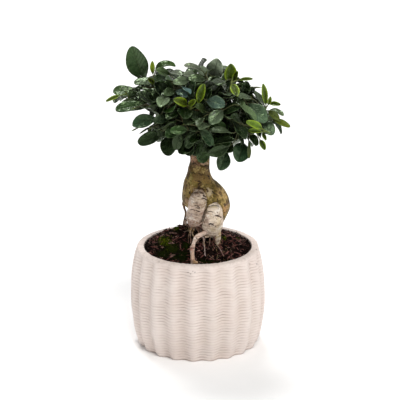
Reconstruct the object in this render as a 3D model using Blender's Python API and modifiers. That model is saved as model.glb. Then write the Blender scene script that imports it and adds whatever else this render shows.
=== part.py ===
"""Ginseng ficus in a round fluted pot: pot, soil, rootstock with its woody branches, and leafy shoots.

Metres, +Z up, origin at the middle of the pot's underside, front of the plant towards -Y.
"""

import math
import random

import bmesh
import bpy
import numpy as np
from mathutils import Matrix, Vector
from mathutils.bvhtree import BVHTree

MM = 0.001
GAP = 0.3  # between two pieces, mm

# Pot, mm
POT_OUTER = [(0.0, 71.5), (4.0, 74.0), (20.0, 78.8), (42.0, 81.8), (68.0, 82.5), (94.0, 80.9), (116.0, 76.9)]
POT_LIP = [(123.6, 73.4), (125.0, 69.4), (121.5, 65.0)]
POT_INNER = [(100.0, 68.4), (58.0, 71.0), (12.0, 63.0)]
POT_RIBS = 20
RIB_SAMPLES = 4
RIB_DEPTH = 4.0
RIB_TURN = math.radians(-4.6)  # first crest, turned from the front towards +X
RIB_FADE = (114.0, 125.0)  # heights between which the ribs run out under the lip

# Soil, mm
SOIL_TURNS = 28
SOIL_RINGS = (12.0, 26.0, 38.0, 49.0, 58.5)
SOIL_EDGE = 110.5
SOIL_MOUND = 27.5
SOIL_CENTRE = (-6.0, 4.0)
SOIL_SPREAD = (60.0, 36.0, 44.0)  # across, to the front and to the back
SOIL_WALL = 66.0  # the mound runs out before this radius
SOIL_BACK = 9.5  # how much higher the soil lies at the sides and back
SOIL_RISE = (-55.0, 20.0)  # between these depths
SOIL_HEAP = (21.0, -8.0, 5.0, 13.0)  # x, y, height and spread of the heap at the right leg
SOIL_EDGE_PROBE = 62.0  # the level along the wall is taken from the mound at this radius
SOIL_HIGHEST_EDGE = 121.0
CHIP_COUNT = 20
CHIP_LENGTH = (5.0, 11.0)
CHIP_WIDTH = (3.5, 6.5)
CHIP_HEIGHT = (2.5, 4.5)
CHIP_REACH = 58.0
CHIP_LEAN = 0.35
CHIP_ROOM = 7.5  # a chip's middle keeps this far from the edge of a hole
HOLE_SIDES = 12
CHORD_ROOM = 0.45  # the facets of a round wall stand this much nearer at their middles

# Rootstock, mm: limbs as runs of (x, y, z, radius)
BULB = [(3.2, 0, 262, 11.8), (2.9, 0, 249, 12.3), (2.6, 0, 240, 12.5), (2.3, 0, 232.3, 12.2),
        (1.3, 0, 224.5, 12.9), (1.0, 0, 216.6, 14.6), (1.8, 1, 208.6, 17.9), (5.2, 3, 200.2, 23.4),
        (7.1, 4, 192, 26.6), (9.0, 6, 183.7, 28.4), (11.0, 7, 177.0, 28.0), (14.6, 7, 171.5, 24.6),
        (18.6, 7, 165.5, 18.6), (21.0, 5, 159, 13.2), (21.8, 4, 154, 9.5)]
LEFT_LEG = [(1.4, -18, 193.0, 7.4), (0.2, -20, 184.3, 10.7), (-2.2, -16, 174.2, 10.8), (-3.7, -8, 161.4, 10.1),
            (-3.8, 1, 150.4, 8.0), (-4.8, 5.5, 142, 6.8), (-5.5, 6, 95.4, 6.8)]
RIGHT_LEG = [(20.0, -19.5, 179.6, 9.0), (19.3, -20, 171.8, 11.7), (18.4, -16, 161.7, 12.5), (17.1, -11, 151.9, 12.0),
             (16.4, -6, 146, 10.0), (15.0, 0, 140, 8.0), (15.0, 0, 95.4, 7.6)]
FOOT_STUB = [(21.5, -11, 152, 5.5), (24.0, -13, 144.8, 4.6), (24.0, -14.5, 139, 3.9), (24.0, -14.5, 119.6, 3.5)]
KNEE_ROOT = [(14.9, -18, 149.8, 3.9), (6.3, -22, 146.6, 3.2), (-1.3, -27, 143.2, 3.2), (-5.0, -31, 138.3, 3.1),
             (-6.5, -35, 132.6, 3.0), (-7.3, -39, 126.6, 2.9), (-7.2, -42, 122.0, 2.9), (-7.2, -42, 104.4, 2.7)]
KNEE_TOE = [(-7.2, -42, 121.4, 3.1), (-2.7, -44, 120.2, 2.8), (1.2, -44, 120.0, 1.9)]
BULGES = [(-4.4, 4, 187, 15.4), (3.0, -6, 195, 14.0)]
THIN_ROOTS = [
    [(-14.0, 6, 181.5, 2.6), (-17.2, 8, 176, 2.0), (-16.4, 8, 169.5, 1.4), (-14.9, 10, 162, 1.3),
     (-17.4, 13, 146, 1.2), (-17.4, 13, 130.5, 1.1)],
    [(-6.0, 0, 161, 1.8), (-13.6, 4, 157, 1.4), (-14.6, 4, 149.5, 1.1)],
    [(-8.5, 2, 148.5, 1.7), (-1.0, -5.5, 151.6, 1.3), (9.0, -13, 157.5, 1.6)],
    [(18.0, -14, 148, 2.2), (13.6, -19, 143.6, 1.8), (8.8, -23, 143.6, 1.5)],
    [(4.8, -21, 146, 1.3), (7.1, -27, 139.5, 1.1), (8.3, -35, 131.8, 1.0), (9.2, -42, 126, 0.9)],
    [(18.0, -15, 146, 1.6), (22.2, -23, 136.2, 1.1), (27.0, -30, 130.0, 1.0), (32.0, -39, 124, 0.9)],
]
STUBS = [
    [(3.2, 0, 258, 9.5), (-4.0, -3, 270, 7.6), (-13.0, -6, 283, 5.6), (-22.0, -8, 293, 4.0)],
    [(3.2, 0, 258, 9.5), (11.0, -2, 271, 7.2), (20.0, -5, 284, 5.4), (29.0, -8, 293, 3.8)],
    [(3.2, 0, 258, 9.5), (3.0, 9, 272, 7.2), (1.0, 19, 285, 5.4), (-2.0, 30, 294, 3.8)],
    [(3.2, 0, 258, 9.5), (3.0, -2, 278, 6.6), (1.0, -8, 294, 4.8), (-1.0, -12, 308, 3.6)],
]
LIMB_SIDES = 14
TRUNK_VOXEL = 1.8
TRUNK_FACES = 1650
HOLES = [  # name, x, y, radius, floor
    ("left_well", -5.2, 3.6, 10.4, 139.0), ("left", -5.5, 6.0, 8.8, 95.0), ("right_well", 16.6, -6.0, 13.4, 131.0),
    ("right", 15.0, 0.0, 9.0, 95.0), ("foot", 24.0, -14.5, 4.8, 119.0), ("knee", -7.2, -42.0, 4.2, 104.0),
    ("toe", -2.5, -43.6, 6.6, 116.0), ("air", -17.4, 13.0, 2.4, 130.0)]
HOLE_TOP = 170.0

# Crown, mm: leaf tips lie near an ellipsoid
CROWN_CENTRE = np.array((-1.0, 4.0, 300.0))
CROWN_RADII = np.array((106.0, 90.0, 60.0))
STEM_COUNT = 31
STEM_LOWEST = -0.58  # cosine of the lowest stem's angle from straight up
STEM_FROM = 0.40
STEM_TO = 0.80
STEM_RADIUS = (1.45, 0.95)
TWIG_RADIUS = (2.4, 1.6)
BLADE_THICK = 0.7
PETIOLE_RADIUS = 0.75
BLADE_ROOM = 1.5  # thickness of a blade with the free room that it keeps on both sides
PETIOLE_ROOM = 0.35
PETIOLE_LONGEST = (30.0, 24.0, 40.0)  # of the sketched leaves, the other leaves and the young ones
TIP_RADII = (0.95, 0.95, 0.9, 0.7)
TIP_SHORTEST = 7.0
STEM_FLAT = 0.8  # a stem has four sides, so a side shoot starts nearer than its corners
LEAF_LENGTH = (26.0, 37.0)
LEAF_SLENDER = (0.54, 0.66)  # width as a share of the length
LEAF_BEND = (0.3, 0.8)
LEAF_FOLD = 0.22
YOUNG_FOLD = 0.35
# Stems that hang low at the front: sketch x, y and depth of their ends, then the depth they come from
LOW_STEMS = [(226, 146, -44, -12), (198, 134, -42, -12)]
GOLDEN = math.pi * (3 - math.sqrt(5))
LEAF_COUNT = 122  # leaves besides those of the sketches
COVER_CELL = 5.0
COVER_TRIES = 9000
COVER_VIEWS = [(0, 19.5), (60, 12), (120, 12), (180, 12), (240, 12), (300, 12), (0, 89)]  # turn and height, degrees
SEED = 41

# Front view of the crown: a sketch plane seen from 19.5 degrees above the front
VIEW_TILT = math.radians(19.5)
VIEW_FROM = 4000.0
VIEW_AIM = (2.7, 183.2)
VIEW_SCALE = 0.8216  # sketch units for each mm at the aim
VIEW_MIDDLE = 200.0

# Leaves that shape the front view, nearest first. Base x, y, tip x, y and width in sketch units, then
# the leaf's look (p pale, g green, b bluish, d dark, o olive, y young) and the bend of its midrib.
SKETCH_LEAVES = [
    (189, 106, 189, 122, 21, "p", 0.5), (247, 104, 266, 122, 17, "p", 0.5), (243, 142, 238, 162, 18, "b", 0.5),
    (204, 138, 201.5, 163, 16, "g", 0.5), (171, 134, 168, 156, 17, "g", 0.5), (226, 150, 220, 170.5, 14, "b", 0.5),
    (206, 100, 225, 105.5, 13, "b", 0.3), (223, 110, 210, 124, 13, "b", 0.5), (262, 121, 273, 135, 13, "p", 0.5),
    (163, 134, 138.2, 143.5, 13, "g", 0.6), (157, 118, 132.3, 125, 14, "b", 0.6), (148, 106, 115.5, 110, 12, "g", 0.3),
    (192, 141, 179, 153.5, 15, "d", 0.4), (139.5, 96, 113, 91.5, 11, "p", 0.9), (144.5, 81, 132, 46, 22, "g", 0.3),
    (213, 80, 218, 58.5, 18, "p", 0.4), (160, 83, 134, 83, 8, "p", 0.5), (209, 74, 196, 69, 10, "p", 0.5),
    (243, 97, 246.8, 81, 10, "d", 0.3), (239, 105, 256, 120, 6, "p", 0.5), (190, 80, 173, 83, 9, "p", 0.6),
    (206, 80, 188, 79, 8, "p", 0.6), (174, 90, 164, 95, 9, "p", 0.5), (176, 90, 187, 97, 8, "b", 0.5),
    (181, 86, 190, 94, 4, "p", 0.4), (178, 112, 166, 119, 8, "d", 0.9), (206, 112, 195, 106, 7, "p", 0.4),
    (203, 117, 198, 126.5, 7, "p", 0.4), (232, 100, 245, 106, 8, "p", 0.5), (251, 98, 238, 97, 6, "p", 0.4),
    (266, 108, 249.5, 88.5, 5, "p", 0.3), (241, 122, 231, 116, 7, "d", 0.5), (268, 110.5, 283.5, 116, 5, "p", 0.9),
    (266, 110, 279.5, 119.5, 7, "o", 0.5), (271, 119, 290, 127, 7, "o", 0.7), (272, 120, 281, 134, 4, "d", 0.7),
    (201, 136, 190, 143, 7, "d", 0.4), (230, 146, 208, 154, 11, "d", 0.4), (232, 133, 209, 131, 6, "p", 0.4),
    (250, 133, 256.5, 146, 7, "d", 0.4), (248.5, 141, 249, 158.5, 4, "o", 0.5), (268, 133, 254, 131, 4, "p", 0.4),
    (168, 118, 153, 122, 9, "b", 0.5), (188, 130, 170, 131, 9, "g", 0.5), (236, 140, 212, 143, 8, "d", 0.5),
    (226, 92, 221, 84, 5, "p", 0.4), (144, 84, 137.5, 78, 5, "d", 0.4), (167, 79, 154, 79, 8, "d", 0.4),
    (170, 76, 156, 70, 8, "p", 0.5), (170, 72, 182, 75.5, 6, "p", 0.6), (202, 70, 184, 65.5, 6, "p", 0.4),
    (199, 67, 206.5, 60.5, 6, "g", 0.4), (199, 78, 183, 74.5, 7, "d", 0.5), (155, 72, 175.5, 66.3, 7, "g", 2.0),
    (247, 96, 252, 87, 6, "p", 0.4), (124, 97, 114.5, 103, 4, "d", 0.9), (178, 128, 166, 137, 12, "g", 0.5),
    (152, 126.5, 139.3, 134, 2, "d", 0.9), (196, 132, 186, 148, 10, "d", 0.5), (212, 140, 203, 152, 10, "d", 0.5),
    (200, 128, 212, 146, 10, "b", 0.5), (180, 132, 176, 150, 10, "d", 0.4),
]
# Young tips: each group is one tip of new growth
SKETCH_TIPS = [
    [(153, 75, 152.5, 61, 5, "y", 0.3), (154, 84, 148, 78, 5, "y", 0.3)],
    [(187, 105, 173.5, 99.5, 9, "y", 0.8), (198, 104, 204, 84, 9, "y", 0.2), (189, 106, 196, 100, 6, "y", 0.4)],
    [(229, 84, 230.5, 63.5, 13, "y", 0.3), (233, 83, 237.5, 71, 6, "y", 0.3)],
    [(232, 84, 237, 96.5, 9, "y", 0.4), (238, 80, 252.8, 79, 4, "y", 0.7)],
    [(266, 106, 262.8, 83.5, 6.5, "y", 0.2), (268, 105, 270.5, 96.5, 4.5, "y", 0.3),
     (269, 104, 280.5, 104.8, 5, "y", 1.3)],
    [(263, 129, 246, 121.5, 8, "y", 0.6), (262, 132, 248, 130.5, 5, "y", 0.5)],
    [(259.5, 139, 265, 150, 6, "y", 0.4), (262, 132.5, 266, 140.5, 4, "y", 0.4)],
    [(122, 95, 106, 101.5, 4, "y", 1.1)],
]
# Outline of the crown in the same sketch, which the other leaves stay inside
SKETCH_OUTLINE = [
    (116, 104), (122, 96), (128, 90), (140, 86), (146, 80), (152, 76), (158, 70), (168, 68), (176, 72), (186, 70),
    (200, 66), (210, 64), (222, 64), (232, 70), (240, 80), (249, 86), (256, 92), (262, 100), (268, 106), (276, 112),
    (280, 118), (278, 126), (272, 134), (264, 140), (256, 144), (250, 150), (246, 158), (238, 160), (230, 160),
    (222, 166), (215, 158), (208, 160), (198, 160), (194, 152), (180, 152), (176, 146), (170, 152), (162, 150),
    (160, 142), (150, 140), (146, 134), (152, 128), (156, 124), (150, 116), (147, 110), (136, 108), (120, 108),
]


def clear_scene():
    for obj in list(bpy.data.objects):
        bpy.data.objects.remove(obj, do_unlink=True)


def new_collection(name, hidden=False):
    found = bpy.data.collections.new(name)
    bpy.context.scene.collection.children.link(found)
    found.hide_render = hidden
    return found


def material(name, colour, roughness, metallic=0.0):
    made = bpy.data.materials.new(name)
    made.use_nodes = True
    shader = made.node_tree.nodes["Principled BSDF"]
    shader.inputs["Base Color"].default_value = (*colour, 1.0)
    shader.inputs["Roughness"].default_value = roughness
    shader.inputs["Metallic"].default_value = metallic
    return made


def mesh_object(name, vertices, faces, collection, look=None):
    """An object from points in mm, with its faces turned outwards."""
    mesh = bpy.data.meshes.new(name)
    mesh.from_pydata([tuple(MM * c for c in v) for v in vertices], [], faces)
    bm = bmesh.new()
    bm.from_mesh(mesh)
    bmesh.ops.recalc_face_normals(bm, faces=bm.faces)
    if bm.calc_volume(signed=True) < 0:
        bmesh.ops.reverse_faces(bm, faces=bm.faces)
    bm.to_mesh(mesh)
    bm.free()
    obj = bpy.data.objects.new(name, mesh)
    collection.objects.link(obj)
    if look:
        mesh.materials.append(look)
    return obj


def evaluated_copy(obj):
    """A plain mesh of the object with its modifiers applied."""
    graph = bpy.context.evaluated_depsgraph_get()
    return bpy.data.meshes.new_from_object(obj.evaluated_get(graph), depsgraph=graph).copy()


def apply_modifiers(obj):
    mesh = evaluated_copy(obj)
    obj.modifiers.clear()
    obj.data = mesh
    mesh.name = obj.name


def boolean(obj, other, operation, solver="EXACT"):
    """One Boolean with an object or with all of a collection, applied, and the others then removed."""
    change = obj.modifiers.new(operation.lower(), "BOOLEAN")
    change.operation = operation
    change.solver = solver
    if isinstance(other, bpy.types.Collection):
        change.operand_type = "COLLECTION"
        change.collection = other
        done = list(other.objects)
    else:
        change.object = other
        done = [other]
    bpy.context.view_layer.update()
    apply_modifiers(obj)
    for used in done:
        bpy.data.objects.remove(used, do_unlink=True)


def fill_pockets(obj):
    """Fills the pockets that pieces shut in where they join: shells that face inwards are taken out."""
    bm = bmesh.new()
    bm.from_mesh(obj.data)
    bmesh.ops.triangulate(bm, faces=bm.faces[:])
    left = set(bm.verts)
    while left:
        shell = [left.pop()]
        for vert in shell:
            near = [edge.other_vert(vert) for edge in vert.link_edges]
            shell += [other for other in near if other in left]
            left.difference_update(near)
        faces = {face for vert in shell for face in vert.link_faces}
        corners = [[loop.vert.co for loop in face.loops] for face in faces]
        if sum(a.dot(b.cross(c)) for a, b, c in corners) < 0:
            bmesh.ops.delete(bm, geom=shell, context="VERTS")
    bm.to_mesh(obj.data)
    bm.free()


def shade_round(obj, degrees):
    obj.data.shade_smooth()
    obj.data.set_sharp_from_angle(angle=math.radians(degrees))


def smoothstep(value, low, high):
    share = min(max((value - low) / (high - low), 0.0), 1.0)
    return share * share * (3 - 2 * share)


# Pot

def rib_relief(angle, height):
    """How far the wall lies inside its crest line, mm. The angle runs from the front towards +X."""
    wave = 0.5 - 0.5 * math.cos(POT_RIBS * (angle - RIB_TURN))
    return RIB_DEPTH * wave * (1 - smoothstep(height, *RIB_FADE))


def make_pot(collection, look):
    columns = POT_RIBS * RIB_SAMPLES
    bm = bmesh.new()
    profile = [(r, 0.0, z) for z, r in POT_OUTER + POT_LIP + POT_INNER]
    points = [bm.verts.new(p) for p in profile]
    edges = [bm.edges.new(pair) for pair in zip(points, points[1:])]
    bmesh.ops.spin(bm, geom=points + edges, cent=(0, 0, 0), axis=(0, 0, 1), angle=2 * math.pi, steps=columns,
                   use_merge=True, use_normal_flip=False, use_duplicate=False)
    bmesh.ops.remove_doubles(bm, verts=bm.verts, dist=0.001)
    foot = POT_OUTER[0][0]
    floor = POT_INNER[-1][0]
    for level in (foot, floor):
        rim = [e for e in bm.edges if e.is_boundary and abs(e.verts[0].co.z - level) < 0.01]
        middle = bm.verts.new((0, 0, level))
        for edge in rim:
            bm.faces.new((*edge.verts, middle))
    # The spin starts at +X, so the columns are turned until one of them runs down a valley
    first = RIB_TURN - math.pi / POT_RIBS - math.pi / 2
    bmesh.ops.rotate(bm, verts=bm.verts, cent=(0, 0, 0), matrix=Matrix.Rotation(first, 3, "Z"))
    outer = dict(POT_OUTER)
    for vert in bm.verts:
        radius = math.hypot(vert.co.x, vert.co.y)
        level = min(outer, key=lambda z: abs(z - vert.co.z))
        if radius < 1 or abs(level - vert.co.z) > 0.01 or abs(outer[level] - radius) > 0.01:
            continue
        share = 1 - rib_relief(math.atan2(vert.co.x, -vert.co.y), level) / radius
        vert.co.x *= share
        vert.co.y *= share
    bmesh.ops.scale(bm, vec=(MM, MM, MM), verts=bm.verts)
    bmesh.ops.recalc_face_normals(bm, faces=bm.faces)
    mesh = bpy.data.meshes.new("pot")
    bm.to_mesh(mesh)
    bm.free()
    pot = bpy.data.objects.new("pot", mesh)
    collection.objects.link(pot)
    mesh.materials.append(look)
    shade_round(pot, 35)
    return pot


# Soil

def soil_height(x, y):
    """Height of the soil's top, mm: low at the front wall, mounded round the trunk."""
    across = (x - SOIL_CENTRE[0]) / SOIL_SPREAD[0]
    along = (y - SOIL_CENTRE[1]) / (SOIL_SPREAD[1] if y < SOIL_CENTRE[1] else SOIL_SPREAD[2])
    falling = (1 + across * across + along * along) ** -1.3 * (1 - (math.hypot(x, y) / SOIL_WALL) ** 4)
    heap = SOIL_HEAP[2] * math.exp(-((x - SOIL_HEAP[0]) ** 2 + (y - SOIL_HEAP[1]) ** 2) / SOIL_HEAP[3] ** 2)
    rough = 0.9 * math.sin(0.21 * x + 0.4) * math.sin(0.19 * y) + 0.7 * math.sin(0.13 * x - 0.27 * y)
    return SOIL_EDGE + SOIL_MOUND * falling + SOIL_BACK * smoothstep(y, *SOIL_RISE) + heap + rough


def inner_radius(height):
    wall = sorted(POT_INNER + POT_LIP)
    return float(np.interp(height, [z for z, _ in wall], [r for _, r in wall]))


def make_soil(cutters, collection, look):
    vertices = []
    faces = []
    angles = [2 * math.pi * (k + 0.5) / SOIL_TURNS for k in range(SOIL_TURNS)]
    vertices.append((0, 0, soil_height(0, 0)))
    for ring in SOIL_RINGS:
        for a in angles:
            x, y = ring * math.sin(a), -ring * math.cos(a)
            vertices.append((x, y, soil_height(x, y)))
    for a in angles:
        probe = soil_height(SOIL_EDGE_PROBE * math.sin(a), -SOIL_EDGE_PROBE * math.cos(a))
        level = min(probe - 1.0, SOIL_HIGHEST_EDGE)
        reach = inner_radius(level) - GAP - CHORD_ROOM
        vertices.append((reach * math.sin(a), -reach * math.cos(a), level))
    for level, radius in POT_INNER:
        floor = GAP if level == POT_INNER[-1][0] else 0.0
        reach = radius - GAP - CHORD_ROOM
        for a in angles:
            vertices.append((reach * math.sin(a), -reach * math.cos(a), level + floor))
    vertices.append((0, 0, POT_INNER[-1][0] + GAP))
    rings = len(SOIL_RINGS) + 1 + len(POT_INNER)
    for k in range(SOIL_TURNS):
        n = (k + 1) % SOIL_TURNS
        faces.append((0, 1 + k, 1 + n))
        for ring in range(rings - 1):
            a = 1 + ring * SOIL_TURNS
            b = a + SOIL_TURNS
            faces.append((a + k, b + k, b + n, a + n))
        last = 1 + (rings - 1) * SOIL_TURNS
        faces.append((last + k, len(vertices) - 1, last + n))
    soil = mesh_object("soil", vertices, faces, collection, look)
    bm = bmesh.new()
    bm.from_mesh(soil.data)
    bmesh.ops.triangulate(bm, faces=bm.faces)
    bm.to_mesh(soil.data)
    bm.free()
    chips = new_collection("soil_chips")
    draw = random.Random(SEED)
    made = 0
    while made < CHIP_COUNT:
        turn = draw.uniform(0, 2 * math.pi)
        reach = CHIP_REACH * math.sqrt(draw.uniform(0.05, 1.0))
        x, y = reach * math.sin(turn), -reach * math.cos(turn)
        size = Vector((draw.uniform(*CHIP_LENGTH), draw.uniform(*CHIP_WIDTH), draw.uniform(*CHIP_HEIGHT)))
        spin = draw.uniform(0, math.pi)
        lean = (draw.uniform(-CHIP_LEAN, CHIP_LEAN), draw.uniform(-CHIP_LEAN, CHIP_LEAN))
        if reach + size.x / 2 > CHIP_REACH + 3:
            continue
        if any(math.hypot(x - h[1], y - h[2]) < h[3] + CHIP_ROOM for h in HOLES):
            continue
        if any(math.hypot(x - p[0], y - p[1]) < CHIP_ROOM for run in THIN_ROOTS[4:] + [KNEE_TOE] for p in run):
            continue
        bm = bmesh.new()
        bmesh.ops.create_cube(bm, size=1.0)
        bmesh.ops.scale(bm, vec=size, verts=bm.verts)
        for vert in bm.verts:
            vert.co.x *= draw.uniform(0.75, 1.1)
            vert.co.y *= draw.uniform(0.75, 1.1)
        turned = Matrix.Rotation(spin, 3, "Z") @ Matrix.Rotation(lean[0], 3, "X") @ Matrix.Rotation(lean[1], 3, "Y")
        bmesh.ops.rotate(bm, verts=bm.verts, cent=(0, 0, 0), matrix=turned)
        bmesh.ops.translate(bm, verts=bm.verts, vec=(x, y, soil_height(x, y) + 0.6))
        bmesh.ops.scale(bm, vec=(MM, MM, MM), verts=bm.verts)
        mesh = bpy.data.meshes.new("chip")
        bm.to_mesh(mesh)
        bm.free()
        chips.objects.link(bpy.data.objects.new("chip", mesh))
        made += 1
    boolean(soil, chips, "UNION")
    bpy.data.collections.remove(chips)
    for name, x, y, radius, floor in HOLES:
        bm = bmesh.new()
        bmesh.ops.create_cone(bm, cap_ends=True, segments=HOLE_SIDES, radius1=radius * MM, radius2=radius * MM,
                              depth=(HOLE_TOP - floor) * MM)
        bmesh.ops.translate(bm, verts=bm.verts, vec=Vector((x, y, (HOLE_TOP + floor) / 2)) * MM)
        mesh = bpy.data.meshes.new("hole_" + name)
        bm.to_mesh(mesh)
        bm.free()
        hole = bpy.data.objects.new("hole_" + name, mesh)
        hole.hide_render = True
        hole.display_type = "WIRE"
        cutters.objects.link(hole)
    boolean(soil, cutters, "DIFFERENCE")
    return soil


# Rootstock

def tube(path, sides, collection, name, look=None, turn=0.0, level=False):
    """A closed tapered tube along points (x, y, z, radius), flat at both ends. Its rings can lie level."""
    points = [Vector(p[:3]) for p in path]
    vertices = []
    faces = []
    tangents = []
    for i in range(len(points)):
        step = points[min(i + 1, len(points) - 1)] - points[max(i - 1, 0)]
        tangents.append(Vector((0, 0, -1)) if level else step.normalized())
    side = tangents[0].orthogonal().normalized()
    for point, row, tangent in zip(points, path, tangents):
        side = (side - tangent * side.dot(tangent)).normalized()
        other = tangent.cross(side)
        for k in range(sides):
            a = turn + 2 * math.pi * k / sides
            vertices.append(point + row[3] * (math.cos(a) * side + math.sin(a) * other))
    for i in range(len(points) - 1):
        for k in range(sides):
            n = (k + 1) % sides
            a = i * sides
            faces.append((a + k, a + n, a + sides + n, a + sides + k))
    faces.append(tuple(range(sides))[::-1])
    faces.append(tuple(range(len(vertices) - sides, len(vertices))))
    return mesh_object(name, vertices, faces, collection, look)


def ball(x, y, z, radius, collection):
    bm = bmesh.new()
    bmesh.ops.create_icosphere(bm, subdivisions=2, radius=radius * MM)
    bmesh.ops.translate(bm, verts=bm.verts, vec=Vector((x, y, z)) * MM)
    mesh = bpy.data.meshes.new("ball")
    bm.to_mesh(mesh)
    bm.free()
    obj = bpy.data.objects.new("ball", mesh)
    collection.objects.link(obj)
    return obj


def make_trunk(twigs, collection, look):
    limbs = new_collection("limbs")
    tube(BULB, 2 * LIMB_SIDES, limbs, "bulb", level=True)
    for run in [RIGHT_LEG, LEFT_LEG, FOOT_STUB, KNEE_ROOT, KNEE_TOE] + STUBS:
        tube(run, LIMB_SIDES, limbs, "limb")
        for point in run[1:-1]:
            ball(*point, limbs)
    for bulge in BULGES:
        ball(*bulge, limbs)
    bm = bmesh.new()
    for obj in limbs.objects:
        bm.from_mesh(obj.data)
    mesh = bpy.data.meshes.new("trunk")
    bm.to_mesh(mesh)
    bm.free()
    for obj in list(limbs.objects):
        bpy.data.objects.remove(obj, do_unlink=True)
    bpy.data.collections.remove(limbs)
    trunk = bpy.data.objects.new("trunk", mesh)
    collection.objects.link(trunk)
    skin = trunk.modifiers.new("skin", "REMESH")
    skin.mode = "VOXEL"
    skin.voxel_size = TRUNK_VOXEL * MM
    soften = trunk.modifiers.new("soften", "SMOOTH")
    soften.factor = 0.5
    soften.iterations = 3
    bpy.context.view_layer.update()
    apply_modifiers(trunk)
    thin = trunk.modifiers.new("thin", "DECIMATE")
    thin.ratio = TRUNK_FACES / (2 * len(trunk.data.polygons))
    bpy.context.view_layer.update()
    apply_modifiers(trunk)
    sprays = new_collection("twigs")
    for path in twigs:
        tube(path, 4, sprays, "twig")
    for path in THIN_ROOTS:
        tube(path, 4, sprays, "root")
    boolean(trunk, sprays, "UNION", "MANIFOLD")
    bpy.data.collections.remove(sprays)
    trunk.data.materials.clear()
    trunk.data.materials.append(look)
    shade_round(trunk, 50)
    return trunk


# Front view sketch

def from_sketch(x, y, depth):
    """The point at this place of the sketch whose distance behind the pot's middle is depth, mm."""
    cosine, sine = math.cos(VIEW_TILT), math.sin(VIEW_TILT)
    height = VIEW_AIM[1]
    scale = VIEW_SCALE
    for _ in range(4):
        nearer = -depth * cosine + (height - VIEW_AIM[1]) * sine
        scale = VIEW_SCALE * VIEW_FROM / (VIEW_FROM - nearer)
        height = VIEW_AIM[1] + ((VIEW_MIDDLE - y) / scale - depth * sine) / cosine
    return np.array((VIEW_AIM[0] + (x - VIEW_MIDDLE) / scale, depth, height))


def to_sketch(point):
    cosine, sine = math.cos(VIEW_TILT), math.sin(VIEW_TILT)
    nearer = -point[1] * cosine + (point[2] - VIEW_AIM[1]) * sine
    scale = VIEW_SCALE * VIEW_FROM / (VIEW_FROM - nearer)
    up = point[1] * sine + (point[2] - VIEW_AIM[1]) * cosine
    return VIEW_MIDDLE + scale * (point[0] - VIEW_AIM[0]), VIEW_MIDDLE - scale * up


VIEW_DIRECTION = np.array((0.0, -math.cos(VIEW_TILT), math.sin(VIEW_TILT)))


def front_depth(x, y, share):
    """Depth at which the line of sight enters the crown's ellipsoid shrunk to this share."""
    best = None
    for depth in np.arange(-110.0, 70.0, 2.0):
        level = np.sum(((from_sketch(x, y, depth) - CROWN_CENTRE) / CROWN_RADII) ** 2)
        if level <= share * share:
            return float(depth)
        if best is None or level < best[0]:
            best = (level, float(depth))
    return best[1]


OUTLINE = np.array(SKETCH_OUTLINE, float)
OUTLINE_NEXT = np.roll(OUTLINE, -1, axis=0)


def inside_outline(point):
    x, y = to_sketch(point)
    (x0, y0), (x1, y1) = OUTLINE.T, OUTLINE_NEXT.T
    crosses = (y0 > y) != (y1 > y)
    rise = np.where(y0 == y1, 1.0, y1 - y0)
    return bool(np.sum(crosses & (x < x0 + (y - y0) / rise * (x1 - x0))) % 2)


# Leaves

def unit(vector):
    return vector / np.linalg.norm(vector)


def square_to(vector, axis):
    return unit(vector - axis * np.dot(vector, axis))


def half_width(share):
    """Half width of a blade at this share of its length, as a share of its greatest."""
    share = min(max(share, 0.0), 1.0)
    return max(math.sin(math.pi * share ** 1.15), 0.0) ** (0.85 - 0.35 * share)


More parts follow.
